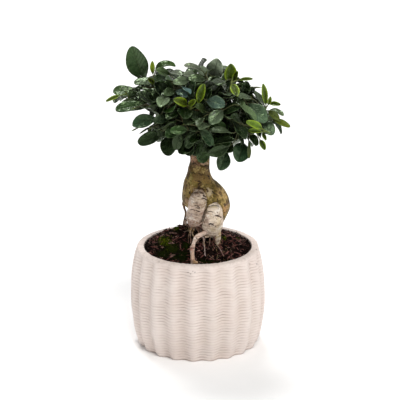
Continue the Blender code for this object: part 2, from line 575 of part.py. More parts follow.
class Leaf:
    """A blade from base to tip with its petiole: all the numbers of one leaf, mm."""

    def __init__(self, base, tip, normal, width, bend, fold, look):
        self.base = base
        self.tip = tip
        self.length = float(np.linalg.norm(tip - base))
        self.along = (tip - base) / self.length
        self.normal = square_to(normal, self.along)
        self.side = np.cross(self.normal, self.along)
        self.width = width
        self.bend = bend
        self.fold = fold
        self.look = look
        self.root = base

    def section(self, share):
        """Middle point, normal and half width at this share of the length."""
        angle = self.bend * (0.5 - share)
        reach = self.length / (2 * math.sin(self.bend / 2))
        middle = (self.base + reach * (math.sin(self.bend / 2) - math.sin(angle)) * self.along
                  + reach * (math.cos(angle) - math.cos(self.bend / 2)) * self.normal)
        normal = math.cos(angle) * self.normal - math.sin(angle) * self.along
        return middle, normal, 0.5 * self.width * half_width(share)

    def petiole_axis(self):
        return unit(self.base - self.root) if np.any(self.base != self.root) else self.along

    def ring(self, point, axis, room):
        """Three corners of the petiole square to the axis, the flat side up."""
        choices = (np.cross(self.normal, axis), self.side - axis * np.dot(self.side, axis))
        side = unit(max(choices, key=lambda c: float(np.dot(c, c))))
        up = np.cross(axis, side)
        r = PETIOLE_RADIUS + room
        return [point + 0.85 * r * side + 0.5 * r * up, point - 0.85 * r * side + 0.5 * r * up, point - r * up]

    def rows(self):
        return (0.22, 0.55, 0.84) if self.length > 33 and self.width > 17 else (0.3, 0.7)

    def solid(self, thick=BLADE_THICK, grow=1.0, petiole=True, room=0.0):
        """Points and faces of the leaf: a three-sided petiole that widens into a folded blade."""
        rows = self.rows()
        grow = grow * (1.08 if len(rows) == 3 else 1.12)
        vertices = []
        faces = []
        vertices += self.ring(self.root, self.petiole_axis(), room) if petiole else []
        vertices += self.ring(self.base, unit(self.petiole_axis() + self.along) if petiole else self.along, room)
        if petiole:
            faces += [(0, 1, 2), (0, 3, 4, 1), (1, 4, 5, 2), (2, 5, 3, 0)]
        else:
            faces += [(0, 1, 2)]
        left, right, under = len(vertices) - 3, len(vertices) - 2, len(vertices) - 1
        before = None
        for share in rows:
            middle, normal, half = self.section(share)
            half *= grow
            rise = half * math.sin(self.fold)
            out = half * math.cos(self.fold)
            line = [middle + out * self.side + rise * normal, middle, middle - out * self.side + rise * normal]
            now = len(vertices)
            vertices += [p + 0.5 * thick * normal for p in line] + [p - 0.5 * thick * normal for p in line]
            if before is None:
                faces += [(left, right, now + 1), (left, now + 1, now), (right, now + 2, now + 1),
                          (under, now + 3, now + 4), (under, now + 4, now + 5),
                          (left, now, now + 3), (left, now + 3, under), (right, now + 5, now + 2),
                          (right, under, now + 5)]
            else:
                for k in (0, 1):
                    faces += [(before + k, before + k + 1, now + k + 1), (before + k, now + k + 1, now + k),
                              (before + 3 + k, now + 4 + k, before + 4 + k),
                              (before + 3 + k, now + 3 + k, now + 4 + k)]
                faces += [(before, now, now + 3), (before, now + 3, before + 3),
                          (before + 2, now + 5, now + 2), (before + 2, before + 5, now + 5)]
            before = now
        end = len(vertices)
        vertices.append(self.section(1.0)[0])
        faces += [(before, before + 1, end), (before + 1, before + 2, end), (before + 3, end, before + 4),
                  (before + 4, end, before + 5), (before, end, before + 3), (before + 2, before + 5, end)]
        return vertices, faces

    def samples(self):
        """Points over the blade, to test what hides it and whether it leaves the outline."""
        found = [self.tip]
        for share in (0.2, 0.5, 0.8):
            middle, normal, half = self.section(share)
            found += [middle, middle + 0.8 * half * self.side, middle - 0.8 * half * self.side]
        return found


class Stem:
    """A shoot's green stem, as a curve of points with radii, and the leaves on it."""

    def __init__(self, name, points, radii):
        self.name = name
        self.points = points
        self.radii = radii
        self.leaves = []

    def at(self, share):
        place = share * (len(self.points) - 1)
        k = min(int(place), len(self.points) - 2)
        return self.points[k] + (place - k) * (self.points[k + 1] - self.points[k])

    def direction(self, share):
        place = share * (len(self.points) - 1)
        k = min(int(place), len(self.points) - 2)
        return unit(self.points[k + 1] - self.points[k])

    def path(self):
        return [(*p, r) for p, r in zip(self.points, self.radii)]


def tube_shape(path, sides, grow=0.0):
    """Points and faces of a tapered tube, for the tests of what touches what."""
    vertices = []
    faces = []
    for (x0, y0, z0, r0), (x1, y1, z1, r1) in zip(path, path[1:]):
        axis = unit(np.array((x1 - x0, y1 - y0, z1 - z0)))
        side = square_to(np.array((0.3, 0.5, 0.8)), axis)
        other = np.cross(axis, side)
        start = len(vertices)
        for centre, radius in ((np.array((x0, y0, z0)), r0 + grow), (np.array((x1, y1, z1)), r1 + grow)):
            for k in range(sides):
                a = 2 * math.pi * k / sides
                vertices.append(centre + radius * (math.cos(a) * side + math.sin(a) * other))
        for k in range(sides):
            n = (k + 1) % sides
            faces.append((start + k, start + n, start + sides + n, start + sides + k))
    return vertices, faces


class Space:
    """What is already placed, as trees of triangles with a ball round each."""

    def __init__(self):
        self.trees = []
        self.centres = np.zeros((0, 3))
        self.reaches = np.zeros(0)
        self.tags = []

    @staticmethod
    def tree(shape):
        vertices, faces = shape
        points = np.array(vertices)
        centre = points.mean(axis=0)
        reach = float(np.max(np.linalg.norm(points - centre, axis=1)))
        return BVHTree.FromPolygons([tuple(v) for v in vertices], faces), centre, reach

    def add(self, shape, tag):
        tree, centre, reach = self.tree(shape)
        self.trees.append(tree)
        self.centres = np.vstack([self.centres, centre])
        self.reaches = np.append(self.reaches, reach)
        self.tags.append(tag)

    def hits(self, shape, skip=()):
        tree, centre, reach = self.tree(shape)
        near = np.nonzero(np.linalg.norm(self.centres - centre, axis=1) < self.reaches + reach)[0]
        return any(self.tags[i] not in skip and tree.overlap(self.trees[i]) for i in near)


def make_stems():
    """The green stems, spread evenly over the crown, and the woody twig that each one sits on."""
    stems = []
    twigs = []
    ends = []
    draw = random.Random(SEED + 1)
    runs = [(np.array(a[:3]), np.array(b[:3])) for stub in STUBS for a, b in zip(stub[1:], stub[2:])]
    runs.append((np.array((3.2, 0, 250.0)), np.array((3.2, 0, 262.0))))
    for i in range(STEM_COUNT):
        high = 1 - (i + 0.5) / STEM_COUNT * (1 - STEM_LOWEST)
        around = i * GOLDEN + 0.6
        flat = math.sqrt(1 - high * high)
        toward = np.array((flat * math.sin(around), -flat * math.cos(around), high))
        last = CROWN_CENTRE + (STEM_TO + draw.uniform(-0.05, 0.03)) * CROWN_RADII * toward
        ends.append((CROWN_CENTRE + STEM_FROM * CROWN_RADII * toward, last))
    for x, y, depth, from_depth in LOW_STEMS:
        last = from_sketch(x, y, depth)
        ends.append((last + 0.5 * (np.array((3.0, from_depth, 285.0)) - last), last))
    for i, (first, last) in enumerate(ends):
        nearest = None
        for a, b in runs:
            share = float(np.clip(np.dot(first - a, b - a) / np.dot(b - a, b - a), 0.0, 0.8))
            foot = a + share * (b - a)
            if nearest is None or np.linalg.norm(first - foot) < np.linalg.norm(first - nearest):
                nearest = foot
        axis = unit(first - nearest)
        middle = first + 0.45 * np.linalg.norm(last - first) * axis
        points = [first]
        for s in (0.3, 0.65, 1.0):
            points.append((1 - s) ** 2 * first + 2 * s * (1 - s) * middle + s * s * last)
        points[1] = first + float(np.dot(points[1] - first, axis)) * axis
        radii = [STEM_RADIUS[0] + s * (STEM_RADIUS[1] - STEM_RADIUS[0]) for s in (0.0, 0.3, 0.65, 1.0)]
        twigs.append([(*nearest, TWIG_RADIUS[0]), (*(first - GAP * axis), TWIG_RADIUS[1])])
        stems.append(Stem(f"shoot_{i + 1:02d}", points, radii))
    return stems, twigs


def leaf_from_sketch(row, pull=0.0):
    """The leaf that shows as this row of the sketch, moved back by pull, mm."""
    bx, by, tx, ty, wide, look, bend = row
    young = look in "yo"
    tip_depth = front_depth(tx, ty, 0.97) + pull
    flat = np.linalg.norm(from_sketch(tx, ty, tip_depth) - from_sketch(bx, by, tip_depth))
    width = wide / 0.83
    want = max(flat, min(max(1.7 * width, 22.0), 34.0) if not young else min(max(2.4 * width, 14.0), 26.0))
    behind = math.sqrt(max(want * want - flat * flat, 0.0))
    base = from_sketch(bx, by, tip_depth + behind)
    tip = from_sketch(tx, ty, tip_depth)
    along = unit(tip - base)
    true_width = width if young else max(width, 0.5 * want)
    if width < 3:
        true_width = width
    facing = min(width / true_width, 0.97)
    toward = square_to(VIEW_DIRECTION, along)
    other = np.cross(along, toward)
    spread = math.acos(facing)
    outward = unit((0.5 * (base + tip) - CROWN_CENTRE) / CROWN_RADII) + np.array((0, 0, 0.9))
    choices = [math.cos(spread) * toward + s * math.sin(spread) * other for s in (1, -1)]
    normal = max(choices, key=lambda n: float(np.dot(n, outward)))
    return Leaf(base, tip, normal, true_width, max(bend, 0.05), YOUNG_FOLD if young else LEAF_FOLD, look)


def root_choices(leaf, stems, longest, closest=3.5):
    """Points on the stems where the leaf's petiole could start, the nearest first."""
    shares = np.linspace(0.25, 0.97, 9)
    points = np.array([[stem.at(share) for share in shares] for stem in stems]).reshape(-1, 3)
    toward = leaf.base - points
    reach = np.linalg.norm(toward, axis=1)
    slant = toward @ leaf.along / np.maximum(reach, 1e-6)
    fits = np.nonzero((reach > closest) & (reach < longest) & (slant > -0.2))[0]
    order = fits[np.argsort((reach * (1.5 - 0.5 * slant))[fits], kind="stable")]
    return [(stems[i // len(shares)], points[i]) for i in order]


def place(leaf, root, stem, space):
    """Puts the leaf on the stem from this point, unless it would touch anything."""
    leaf.root = root
    if space.hits(leaf.solid(BLADE_ROOM, 1.03, room=PETIOLE_ROOM), (stem.name,)):
        return False
    if space.hits(leaf.solid(BLADE_ROOM, 1.03, petiole=False), (stem.name,) if leaf.look == "y" else ()):
        return False
    space.add(leaf.solid(), "leaf")
    stem.leaves.append(leaf)
    return True


def grow_leaves():
    """All stems with their leaves, and the woody twigs."""
    stems, twigs = make_stems()
    space = Space()
    for run in [BULB] + STUBS:
        space.add(tube_shape(run, 8, 1.0), "wood")
    for path in twigs:
        space.add(tube_shape(path, 6, 0.5), "wood")
    for stem in stems:
        space.add(tube_shape(stem.path(), 6, 0.4), stem.name)
    tips = grow_tips(stems, space)
    for row in SKETCH_LEAVES:
        place_sketch(row, stems, space, PETIOLE_LONGEST[0])
    heroes = [leaf for stem in stems + tips for leaf in stem.leaves]
    print("leaves of the sketches placed:", len(heroes), "of", len(SKETCH_LEAVES) + sum(map(len, SKETCH_TIPS)))
    fill_leaves(stems, space, heroes)
    return stems, tips, twigs


def place_sketch(row, stems, space, longest, closest=3.5):
    """Places the leaf of this row on a stem, as near to the crown's surface as there is room."""
    for pull in (0, 3, 6, 9, 12, 16, 20, 25, 30, -3, -6, 36, 42, 50, 60):
        leaf = leaf_from_sketch(row, pull)
        for stem, point in root_choices(leaf, stems, longest, closest)[:6]:
            if place(leaf, point, stem, space):
                return


def side_start(stem, goal):
    """How far a side shoot has to go from this stem to the goal, and where it starts, clear of the stem."""
    choices = [(math.inf, None)]
    for share in np.linspace(0.35, 1.0, 14):
        toward = goal - stem.at(share)
        far = float(np.linalg.norm(toward))
        toward = toward / far
        along = float(np.dot(toward, stem.direction(share)))
        across = math.sqrt(1 - along * along)
        radius = STEM_FLAT * float(np.interp(share, np.linspace(0, 1, len(stem.radii)), stem.radii))
        if 0.0 <= along < 0.8:
            clear = (radius + GAP + 0.05 + TIP_RADII[0] * along) / across
        elif along >= 0.8 and share == 1.0:
            clear = GAP + 0.05 + TIP_RADII[0] * across
        else:
            continue
        if far - clear > TIP_SHORTEST:
            choices.append((far - clear, tuple(stem.at(share) + clear * toward)))
    return min(choices, key=lambda choice: choice[0])


def grow_tips(stems, space):
    """The tips of new growth: a short side shoot from a stem, with its young leaves."""
    tips = []
    used = set()
    for number, group in enumerate(SKETCH_TIPS):
        leaves = [leaf_from_sketch(row) for row in group]
        centre = sum(leaf.base - 6 * leaf.along for leaf in leaves) / len(leaves)
        free = [stem for stem in stems if stem.name not in used]
        for stem in sorted(free, key=lambda s: side_start(s, centre)[0]):
            start = np.array(side_start(stem, centre)[1])
            rise = 0.06 * np.linalg.norm(centre - start) * square_to(np.array((0.0, 0.0, 1.0)), unit(centre - start))
            points = [start + s * (centre - start) + 4 * s * (1 - s) * rise for s in (0.0, 0.35, 0.7, 1.0)]
            tip = Stem(f"tip_{number + 1:02d}", points, TIP_RADII)
            shape = tube_shape(tip.path(), 6, 0.4)
            if not space.hits(shape, (stem.name,)):
                break
        used.add(stem.name)
        space.add(shape, tip.name)
        tips.append(tip)
        for row in group:
            place_sketch(row, [tip], space, PETIOLE_LONGEST[2], 1.5)
    return tips


class Cover:
    """What one view of the crown still shows through: a grid of cells, and those behind which a leaf lies."""

    def __init__(self, turn, height):
        a, e = math.radians(turn), math.radians(height)
        self.toward = np.array((math.sin(a) * math.cos(e), -math.cos(a) * math.cos(e), math.sin(e)))
        self.right = np.array((math.cos(a), math.sin(a), 0.0))
        self.up = np.cross(self.toward, self.right)
        self.cells = []
        self.share = 1.0 if (turn, height) == COVER_VIEWS[0] else 0.86
        spread = np.arange(-120.0, 120.0, COVER_CELL)
        for u in spread:
            for v in spread:
                origin = CROWN_CENTRE + u * self.right + v * self.up
                front = (turn, height) == COVER_VIEWS[0]
                if self.reach(origin) is not None and (not front or inside_outline(origin)):
                    self.cells.append((u, v))
        self.cells = np.array(self.cells)
        self.open = np.ones(len(self.cells), bool)

    def reach(self, origin):
        """How far the line of sight runs inside the crown, from the origin's plane, or None."""
        start = (origin - CROWN_CENTRE) / CROWN_RADII
        step = self.toward / CROWN_RADII
        a, b, c = np.dot(step, step), np.dot(start, step), np.dot(start, start) - self.share ** 2
        inside = b * b - a * c
        return None if inside < 0 else ((-b - math.sqrt(inside)) / a, (-b + math.sqrt(inside)) / a)

    def mark(self, leaf):
        """Closes the cells that the blade stands before."""
        line = [leaf.section(s) for s in (0.1, 0.3, 0.55, 0.8)]
        edge = [leaf.base] + [m + h * leaf.side for m, _, h in line] + [leaf.tip]
        edge += [m - h * leaf.side for m, _, h in reversed(line)]
        flat = [(float(np.dot(p - CROWN_CENTRE, self.right)), float(np.dot(p - CROWN_CENTRE, self.up))) for p in edge]
        inside = np.zeros(len(self.cells), bool)
        for (x0, y0), (x1, y1) in zip(flat, flat[1:] + flat[:1]):
            if y0 == y1:
                continue
            crosses = (y0 > self.cells[:, 1]) != (y1 > self.cells[:, 1])
            inside ^= crosses & (self.cells[:, 0] < x0 + (self.cells[:, 1] - y0) / (y1 - y0) * (x1 - x0))
        self.open &= ~inside


def fill_leaves(stems, space, heroes):
    """The other leaves: each is drawn for a place where some view still looks through the crown."""
    draw = random.Random(SEED + 2)
    watch = np.array([point for leaf in heroes for point in leaf.samples()])
    views = [Cover(*view) for view in COVER_VIEWS]
    for view in views:
        for leaf in heroes:
            view.mark(leaf)
    made = 0
    for attempt in range(COVER_TRIES):
        if made == LEAF_COUNT:
            break
        view = views[attempt % len(views)]
        gaps = np.nonzero(view.open)[0]
        if not len(gaps):
            continue
        u, v = view.cells[gaps[draw.randrange(len(gaps))]]
        origin = CROWN_CENTRE + u * view.right + v * view.up
        low, high = view.reach(origin)
        centre = origin + (low + (high - low) * draw.uniform(0.25, 0.95)) * view.toward
        leaf = drawn_leaf(centre, draw)
        if leaf is None or not all(inside_outline(point) for point in leaf.samples()) or hides(leaf, watch):
            continue
        for stem, point in root_choices(leaf, stems, PETIOLE_LONGEST[1])[:3]:
            if place(leaf, point, stem, space):
                made += 1
                for other in views:
                    other.mark(leaf)
                break
    print("other leaves placed:", made, "of", LEAF_COUNT)


def drawn_leaf(centre, draw):
    """A leaf with its middle here, pointing outwards with some turn, its face up and outwards, or None."""
    jitter = np.array((draw.uniform(-1, 1), draw.uniform(-1, 1), draw.uniform(-1, 1)))
    outward = unit((centre - CROWN_CENTRE) / CROWN_RADII)
    along = unit(outward + 0.75 * jitter + np.array((0, 0, -0.15)))
    length = draw.uniform(*LEAF_LENGTH)
    base, tip = centre - 0.5 * length * along, centre + 0.5 * length * along
    level = math.sqrt(np.sum(((tip - CROWN_CENTRE) / CROWN_RADII) ** 2))
    inner = math.sqrt(np.sum(((base - CROWN_CENTRE) / CROWN_RADII) ** 2))
    if level > 1.03 or inner < 0.25 or inner > level:
        return None
    wish = 0.7 * outward + np.array((0, 0, 0.8)) + 0.4 * np.array(
        (draw.uniform(-1, 1), draw.uniform(-1, 1), draw.uniform(-1, 1)))
    if np.linalg.norm(np.cross(wish, along)) < 0.2:
        return None
    width = length * draw.uniform(*LEAF_SLENDER)
    return Leaf(base, tip, wish, width, draw.uniform(*LEAF_BEND), LEAF_FOLD, draw.choice("ggpbd"))


def hides(leaf, watch):
    """Whether the blade stands between the front view and any watched point."""
    tree, centre, reach = Space.tree(leaf.solid(petiole=False))
    offset = centre - watch
    ahead = offset @ VIEW_DIRECTION
    aside = np.linalg.norm(offset - ahead[:, None] * VIEW_DIRECTION, axis=1)
    for i in np.nonzero((ahead > -reach) & (aside < reach))[0]:
        if tree.ray_cast(Vector(watch[i] + 1.5 * VIEW_DIRECTION), Vector(VIEW_DIRECTION))[0] is not None:
            return True
    return False


def make_shoot(stem, collection, look):
    """One node: the stem with all its leaves joined to it."""
    shoot = tube(stem.path(), 4, collection, stem.name, look)
    if stem.leaves:
        blades = new_collection("blades")
        for leaf in stem.leaves:
            vertices, faces = leaf.solid()
            mesh_object("blade", vertices, faces, blades)
        boolean(shoot, blades, "UNION", "MANIFOLD")
        bpy.data.collections.remove(blades)
        fill_pockets(shoot)
    shoot.data.materials.clear()
    shoot.data.materials.append(look)
    shade_round(shoot, 40)
    return shoot


def main():
    clear_scene()
    parts = new_collection("ginseng_ficus")
    cutters = new_collection("cutters", hidden=True)
    clay = material("pot_clay", (0.76, 0.66, 0.58), 0.75)
    earth = material("soil", (0.035, 0.018, 0.012), 0.95)
    bark = material("bark", (0.30, 0.22, 0.13), 0.8)
    mature = material("leaf_mature", (0.045, 0.075, 0.022), 0.35)
    young = material("leaf_young", (0.25, 0.36, 0.05), 0.4)
    stems, tips, twigs = grow_leaves()
    make_pot(parts, clay)
    make_soil(cutters, parts, earth)
    make_trunk(twigs, parts, bark)
    for stem in stems:
        make_shoot(stem, parts, mature)
    for tip in tips:
        make_shoot(tip, parts, young)
    total = 0
    for obj in parts.objects:
        obj.data.calc_loop_triangles()
        total += len(obj.data.loop_triangles)
    print("leaves", sum(len(s.leaves) for s in stems), "+", sum(len(t.leaves) for t in tips), "triangles", total)


main()
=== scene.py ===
"""Looks of the ginseng ficus: fine pot, soil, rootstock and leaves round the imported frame.

Metres in the scene, millimetres in the working numbers, +Z up, front towards -Y.
"""

import math
import random

import bmesh
import bpy
import numpy as np
from mathutils import Matrix, Vector, noise
from mathutils.bvhtree import BVHTree


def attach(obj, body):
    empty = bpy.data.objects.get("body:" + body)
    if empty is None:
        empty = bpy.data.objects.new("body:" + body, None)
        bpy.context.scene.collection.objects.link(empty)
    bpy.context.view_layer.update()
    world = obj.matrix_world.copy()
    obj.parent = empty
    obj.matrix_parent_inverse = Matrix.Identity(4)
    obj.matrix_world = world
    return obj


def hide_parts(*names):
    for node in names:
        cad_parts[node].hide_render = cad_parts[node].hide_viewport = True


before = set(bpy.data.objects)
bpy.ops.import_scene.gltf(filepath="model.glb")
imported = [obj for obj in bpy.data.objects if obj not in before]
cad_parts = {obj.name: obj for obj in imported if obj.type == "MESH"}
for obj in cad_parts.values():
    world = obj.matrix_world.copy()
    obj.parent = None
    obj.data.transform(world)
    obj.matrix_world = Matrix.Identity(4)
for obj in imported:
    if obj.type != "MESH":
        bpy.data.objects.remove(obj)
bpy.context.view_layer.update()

MM = 0.001
GAP = 0.3  # between two pieces, mm

# Pot, mm: heights and radii of its outside
POT_OUTER = [(0.0, 71.5), (4.0, 74.0), (20.0, 78.8), (42.0, 81.8), (68.0, 82.5), (94.0, 80.9), (116.0, 76.9),
             (123.6, 73.4)]
POT_RIBS = 20
RIB_DEPTH = 4.0
RIB_TURN = math.radians(-4.6)  # first crest, turned from the front towards +X
RIB_FADE = (114.0, 125.0)  # heights between which the ribs run out under the lip

# Soil, mm
SOIL_EDGE = 110.5
SOIL_MOUND = 27.5
SOIL_CENTRE = (-6.0, 4.0)
SOIL_SPREAD = (60.0, 36.0, 44.0)  # across, to the front and to the back
SOIL_WALL = 66.0  # the mound runs out before this radius
SOIL_BACK = 9.5  # how much higher the soil lies at the sides and back
SOIL_RISE = (-55.0, 20.0)  # between these depths
SOIL_HEAP = (21.0, -8.0, 5.0, 13.0)  # x, y, height and spread of the heap at the right leg
SOIL_EDGE_PROBE = 62.0  # the level along the wall is taken from the mound at this radius
SOIL_HIGHEST_EDGE = 121.0

# Rootstock, mm: limbs as runs of (x, y, z, radius)
BULB = [(3.2, 0, 262, 11.8), (2.9, 0, 249, 12.3), (2.6, 0, 240, 12.5), (2.3, 0, 232.3, 12.2),
        (1.3, 0, 224.5, 12.9), (1.0, 0, 216.6, 14.6), (1.8, 1, 208.6, 17.9), (5.2, 3, 200.2, 23.4),
        (7.1, 4, 192, 26.6), (9.0, 6, 183.7, 28.4), (11.0, 7, 177.0, 28.0), (14.6, 7, 171.5, 24.6),
        (18.6, 7, 165.5, 18.6), (21.0, 5, 159, 13.2), (21.8, 4, 154, 9.5)]
BULGES = [(-4.4, 4, 187, 15.4), (3.0, -6, 195, 14.0)]
THIN_ROOTS = [
    [(-14.0, 6, 181.5, 2.6), (-17.2, 8, 176, 2.0), (-16.4, 8, 169.5, 1.4), (-14.9, 10, 162, 1.3),
     (-17.4, 13, 146, 1.2), (-17.4, 13, 130.5, 1.1)],
    [(-6.0, 0, 161, 1.8), (-13.6, 4, 157, 1.4), (-14.6, 4, 149.5, 1.1)],
    [(-8.5, 2, 148.5, 1.7), (-1.0, -5.5, 151.6, 1.3), (9.0, -13, 157.5, 1.6)],
    [(18.0, -14, 148, 2.2), (13.6, -19, 143.6, 1.8), (8.8, -23, 143.6, 1.5)],
    [(4.8, -21, 146, 1.3), (7.1, -27, 139.5, 1.1), (8.3, -35, 131.8, 1.0), (9.2, -42, 126, 0.9)],
    [(18.0, -15, 146, 1.6), (22.2, -23, 136.2, 1.1), (27.0, -30, 130.0, 1.0), (32.0, -39, 124, 0.9)],
]
STUBS = [
    [(3.2, 0, 258, 9.5), (-4.0, -3, 270, 7.6), (-13.0, -6, 283, 5.6), (-22.0, -8, 293, 4.0)],
    [(3.2, 0, 258, 9.5), (11.0, -2, 271, 7.2), (20.0, -5, 284, 5.4), (29.0, -8, 293, 3.8)],
    [(3.2, 0, 258, 9.5), (3.0, 9, 272, 7.2), (1.0, 19, 285, 5.4), (-2.0, 30, 294, 3.8)],
    [(3.2, 0, 258, 9.5), (3.0, -2, 278, 6.6), (1.0, -8, 294, 4.8), (-1.0, -12, 308, 3.6)],
]

# Crown, mm: leaf tips lie near an ellipsoid
CROWN_CENTRE = np.array((-1.0, 4.0, 300.0))
CROWN_RADII = np.array((106.0, 90.0, 60.0))
STEM_COUNT = 31
STEM_LOWEST = -0.58  # cosine of the lowest stem's angle from straight up
STEM_FROM = 0.40
STEM_TO = 0.80
STEM_RADIUS = (1.45, 0.95)
STEM_SHARES = (0.0, 0.3, 0.65, 1.0)
TWIG_RADIUS = (2.4, 1.6)
BLADE_THICK = 0.7
PETIOLE_RADIUS = 0.75
BLADE_ROOM = 1.5  # thickness of a blade with the free room that it keeps on both sides
PETIOLE_ROOM = 0.35
PETIOLE_LONGEST = (30.0, 24.0, 40.0)  # of the sketched leaves, the other leaves and the young ones
TIP_RADII = (0.95, 0.95, 0.9, 0.7)
PETIOLE_SHORTEST = 3.5
YOUNG_SHORTEST = 1.5
ROOT_SHARES = np.linspace(0.25, 0.97, 9)  # where on a stem leaves start
TIP_SHORTEST = 7.0
STEM_FLAT = 0.8  # a stem has four sides, so a side shoot starts nearer than its corners
LEAF_LENGTH = (26.0, 37.0)
LEAF_SLENDER = (0.54, 0.66)  # width as a share of the length
LEAF_BEND = (0.3, 0.8)
LEAF_FOLD = 0.22
YOUNG_FOLD = 0.35
LARGE_BLADE = (33, 17)  # longer and wider blades have one more row of corners
BLADE_GROW = 1.03  # times its width that a blade keeps free
LEAF_TURN = 0.75
LEAF_DROOP = (0, 0, -0.15)
FACE_OUT = 0.7
FACE_UP = (0, 0, 0.8)
FACE_TURN = 0.4
OUTERMOST, INNERMOST = 1.03, 0.25  # levels in the crown of a leaf's tip and base
# looks drawn for the other leaves: p and b bring painted sheen, d painted shade
OTHER_LOOKS = "ggpbd"
SKETCH_ROOTS = 6  # how many of the nearest places on stems a leaf may try
OTHER_ROOTS = 3
WOOD_ROOM = 1.0
TWIG_ROOM = 0.5
STEM_ROOM = 0.4
NECK = [(3.2, 0, 250.0), (3.2, 0, 262.0)]
# Stems that hang low at the front: sketch x, y and depth of their ends, then the depth they come from
LOW_STEMS = [(226, 146, -44, -12), (198, 134, -42, -12)]
LOW_STEM_HEART = (3.0, 285.0)  # x and z of the place they come from
GOLDEN = math.pi * (3 - math.sqrt(5))
LEAF_COUNT = 122  # leaves besides those of the sketches
COVER_CELL = 5.0
COVER_TRIES = 9000
COVER_REACH = 120.0
COVER_SHARE = 0.86  # all views but the front one look at the crown shrunk to this
COVER_DEPTHS = (0.25, 0.95)  # where on its line of sight a leaf is drawn
COVER_VIEWS = [(0, 19.5), (60, 12), (120, 12), (180, 12), (240, 12), (300, 12), (0, 89)]  # turn, height
CROWN_DEPTHS = (-110.0, 70.0, 2.0)
SEED = 41

# Front view of the crown: a sketch plane seen from 19.5 degrees above the front
VIEW_TILT = math.radians(19.5)
VIEW_FROM = 4000.0
VIEW_AIM = (2.7, 183.2)
VIEW_SCALE = 0.8216  # sketch units for each mm at the aim
VIEW_MIDDLE = 200.0
SKETCH_WIDTHS = 0.83  # sketch units for each mm of a blade's width
MATURE_SIZES = (1.7, 22.0, 34.0)  # length for its width, least and most length
YOUNG_SIZES = (2.4, 14.0, 26.0)
EDGE_ON = 3  # narrower blades are seen edge on
SKETCH_PULLS = (0, 3, 6, 9, 12, 16, 20, 25, 30, -3, -6, 36, 42, 50, 60)

# Leaves that shape the front view, nearest first. Base x, y, tip x, y and width in sketch units, then
# the leaf's look (p pale with painted sheen, g green, b bluish with painted sheen, d dark with painted shade,
# o olive, y young) and the bend of its midrib.
SKETCH_LEAVES = [
    (189, 106, 189, 122, 21, "p", 0.5), (247, 104, 266, 122, 17, "p", 0.5),
    (243, 142, 238, 162, 18, "b", 0.5), (204, 138, 201.5, 163, 16, "g", 0.5),
    (171, 134, 168, 156, 17, "g", 0.5), (226, 150, 220, 170.5, 14, "b", 0.5),
    (206, 100, 225, 105.5, 13, "b", 0.3), (223, 110, 210, 124, 13, "b", 0.5),
    (262, 121, 273, 135, 13, "p", 0.5), (163, 134, 138.2, 143.5, 13, "g", 0.6),
    (157, 118, 132.3, 125, 14, "b", 0.6), (148, 106, 115.5, 110, 12, "g", 0.3),
    (192, 141, 179, 153.5, 15, "d", 0.4), (139.5, 96, 113, 91.5, 11, "p", 0.9),
    (144.5, 81, 132, 46, 22, "g", 0.3), (213, 80, 218, 58.5, 18, "p", 0.4), (160, 83, 134, 83, 8, "p", 0.5),
    (209, 74, 196, 69, 10, "p", 0.5), (243, 97, 246.8, 81, 10, "d", 0.3), (239, 105, 256, 120, 6, "p", 0.5),
    (190, 80, 173, 83, 9, "p", 0.6), (206, 80, 188, 79, 8, "p", 0.6), (174, 90, 164, 95, 9, "p", 0.5),
    (176, 90, 187, 97, 8, "b", 0.5), (181, 86, 190, 94, 4, "p", 0.4), (178, 112, 166, 119, 8, "d", 0.9),
    (206, 112, 195, 106, 7, "p", 0.4), (203, 117, 198, 126.5, 7, "p", 0.4),
    (232, 100, 245, 106, 8, "p", 0.5), (251, 98, 238, 97, 6, "p", 0.4),
    (266, 108, 249.5, 88.5, 5, "p", 0.3), (241, 122, 231, 116, 7, "d", 0.5),
    (268, 110.5, 283.5, 116, 5, "p", 0.9), (266, 110, 279.5, 119.5, 7, "o", 0.5),
    (271, 119, 290, 127, 7, "o", 0.7), (272, 120, 281, 134, 4, "d", 0.7), (201, 136, 190, 143, 7, "d", 0.4),
    (230, 146, 208, 154, 11, "d", 0.4), (232, 133, 209, 131, 6, "p", 0.4),
    (250, 133, 256.5, 146, 7, "d", 0.4), (248.5, 141, 249, 158.5, 4, "o", 0.5),
    (268, 133, 254, 131, 4, "p", 0.4), (168, 118, 153, 122, 9, "b", 0.5), (188, 130, 170, 131, 9, "g", 0.5),
    (236, 140, 212, 143, 8, "d", 0.5), (226, 92, 221, 84, 5, "p", 0.4), (144, 84, 137.5, 78, 5, "d", 0.4),
    (167, 79, 154, 79, 8, "d", 0.4), (170, 76, 156, 70, 8, "p", 0.5), (170, 72, 182, 75.5, 6, "p", 0.6),
    (202, 70, 184, 65.5, 6, "p", 0.4), (199, 67, 206.5, 60.5, 6, "g", 0.4),
    (199, 78, 183, 74.5, 7, "d", 0.5), (155, 72, 175.5, 66.3, 7, "g", 2.0), (247, 96, 252, 87, 6, "p", 0.4),
    (124, 97, 114.5, 103, 4, "d", 0.9), (178, 128, 166, 137, 12, "g", 0.5),
    (152, 126.5, 139.3, 134, 2, "d", 0.9), (196, 132, 186, 148, 10, "d", 0.5),
    (212, 140, 203, 152, 10, "d", 0.5), (200, 128, 212, 146, 10, "b", 0.5),
    (180, 132, 176, 150, 10, "d", 0.4),
]
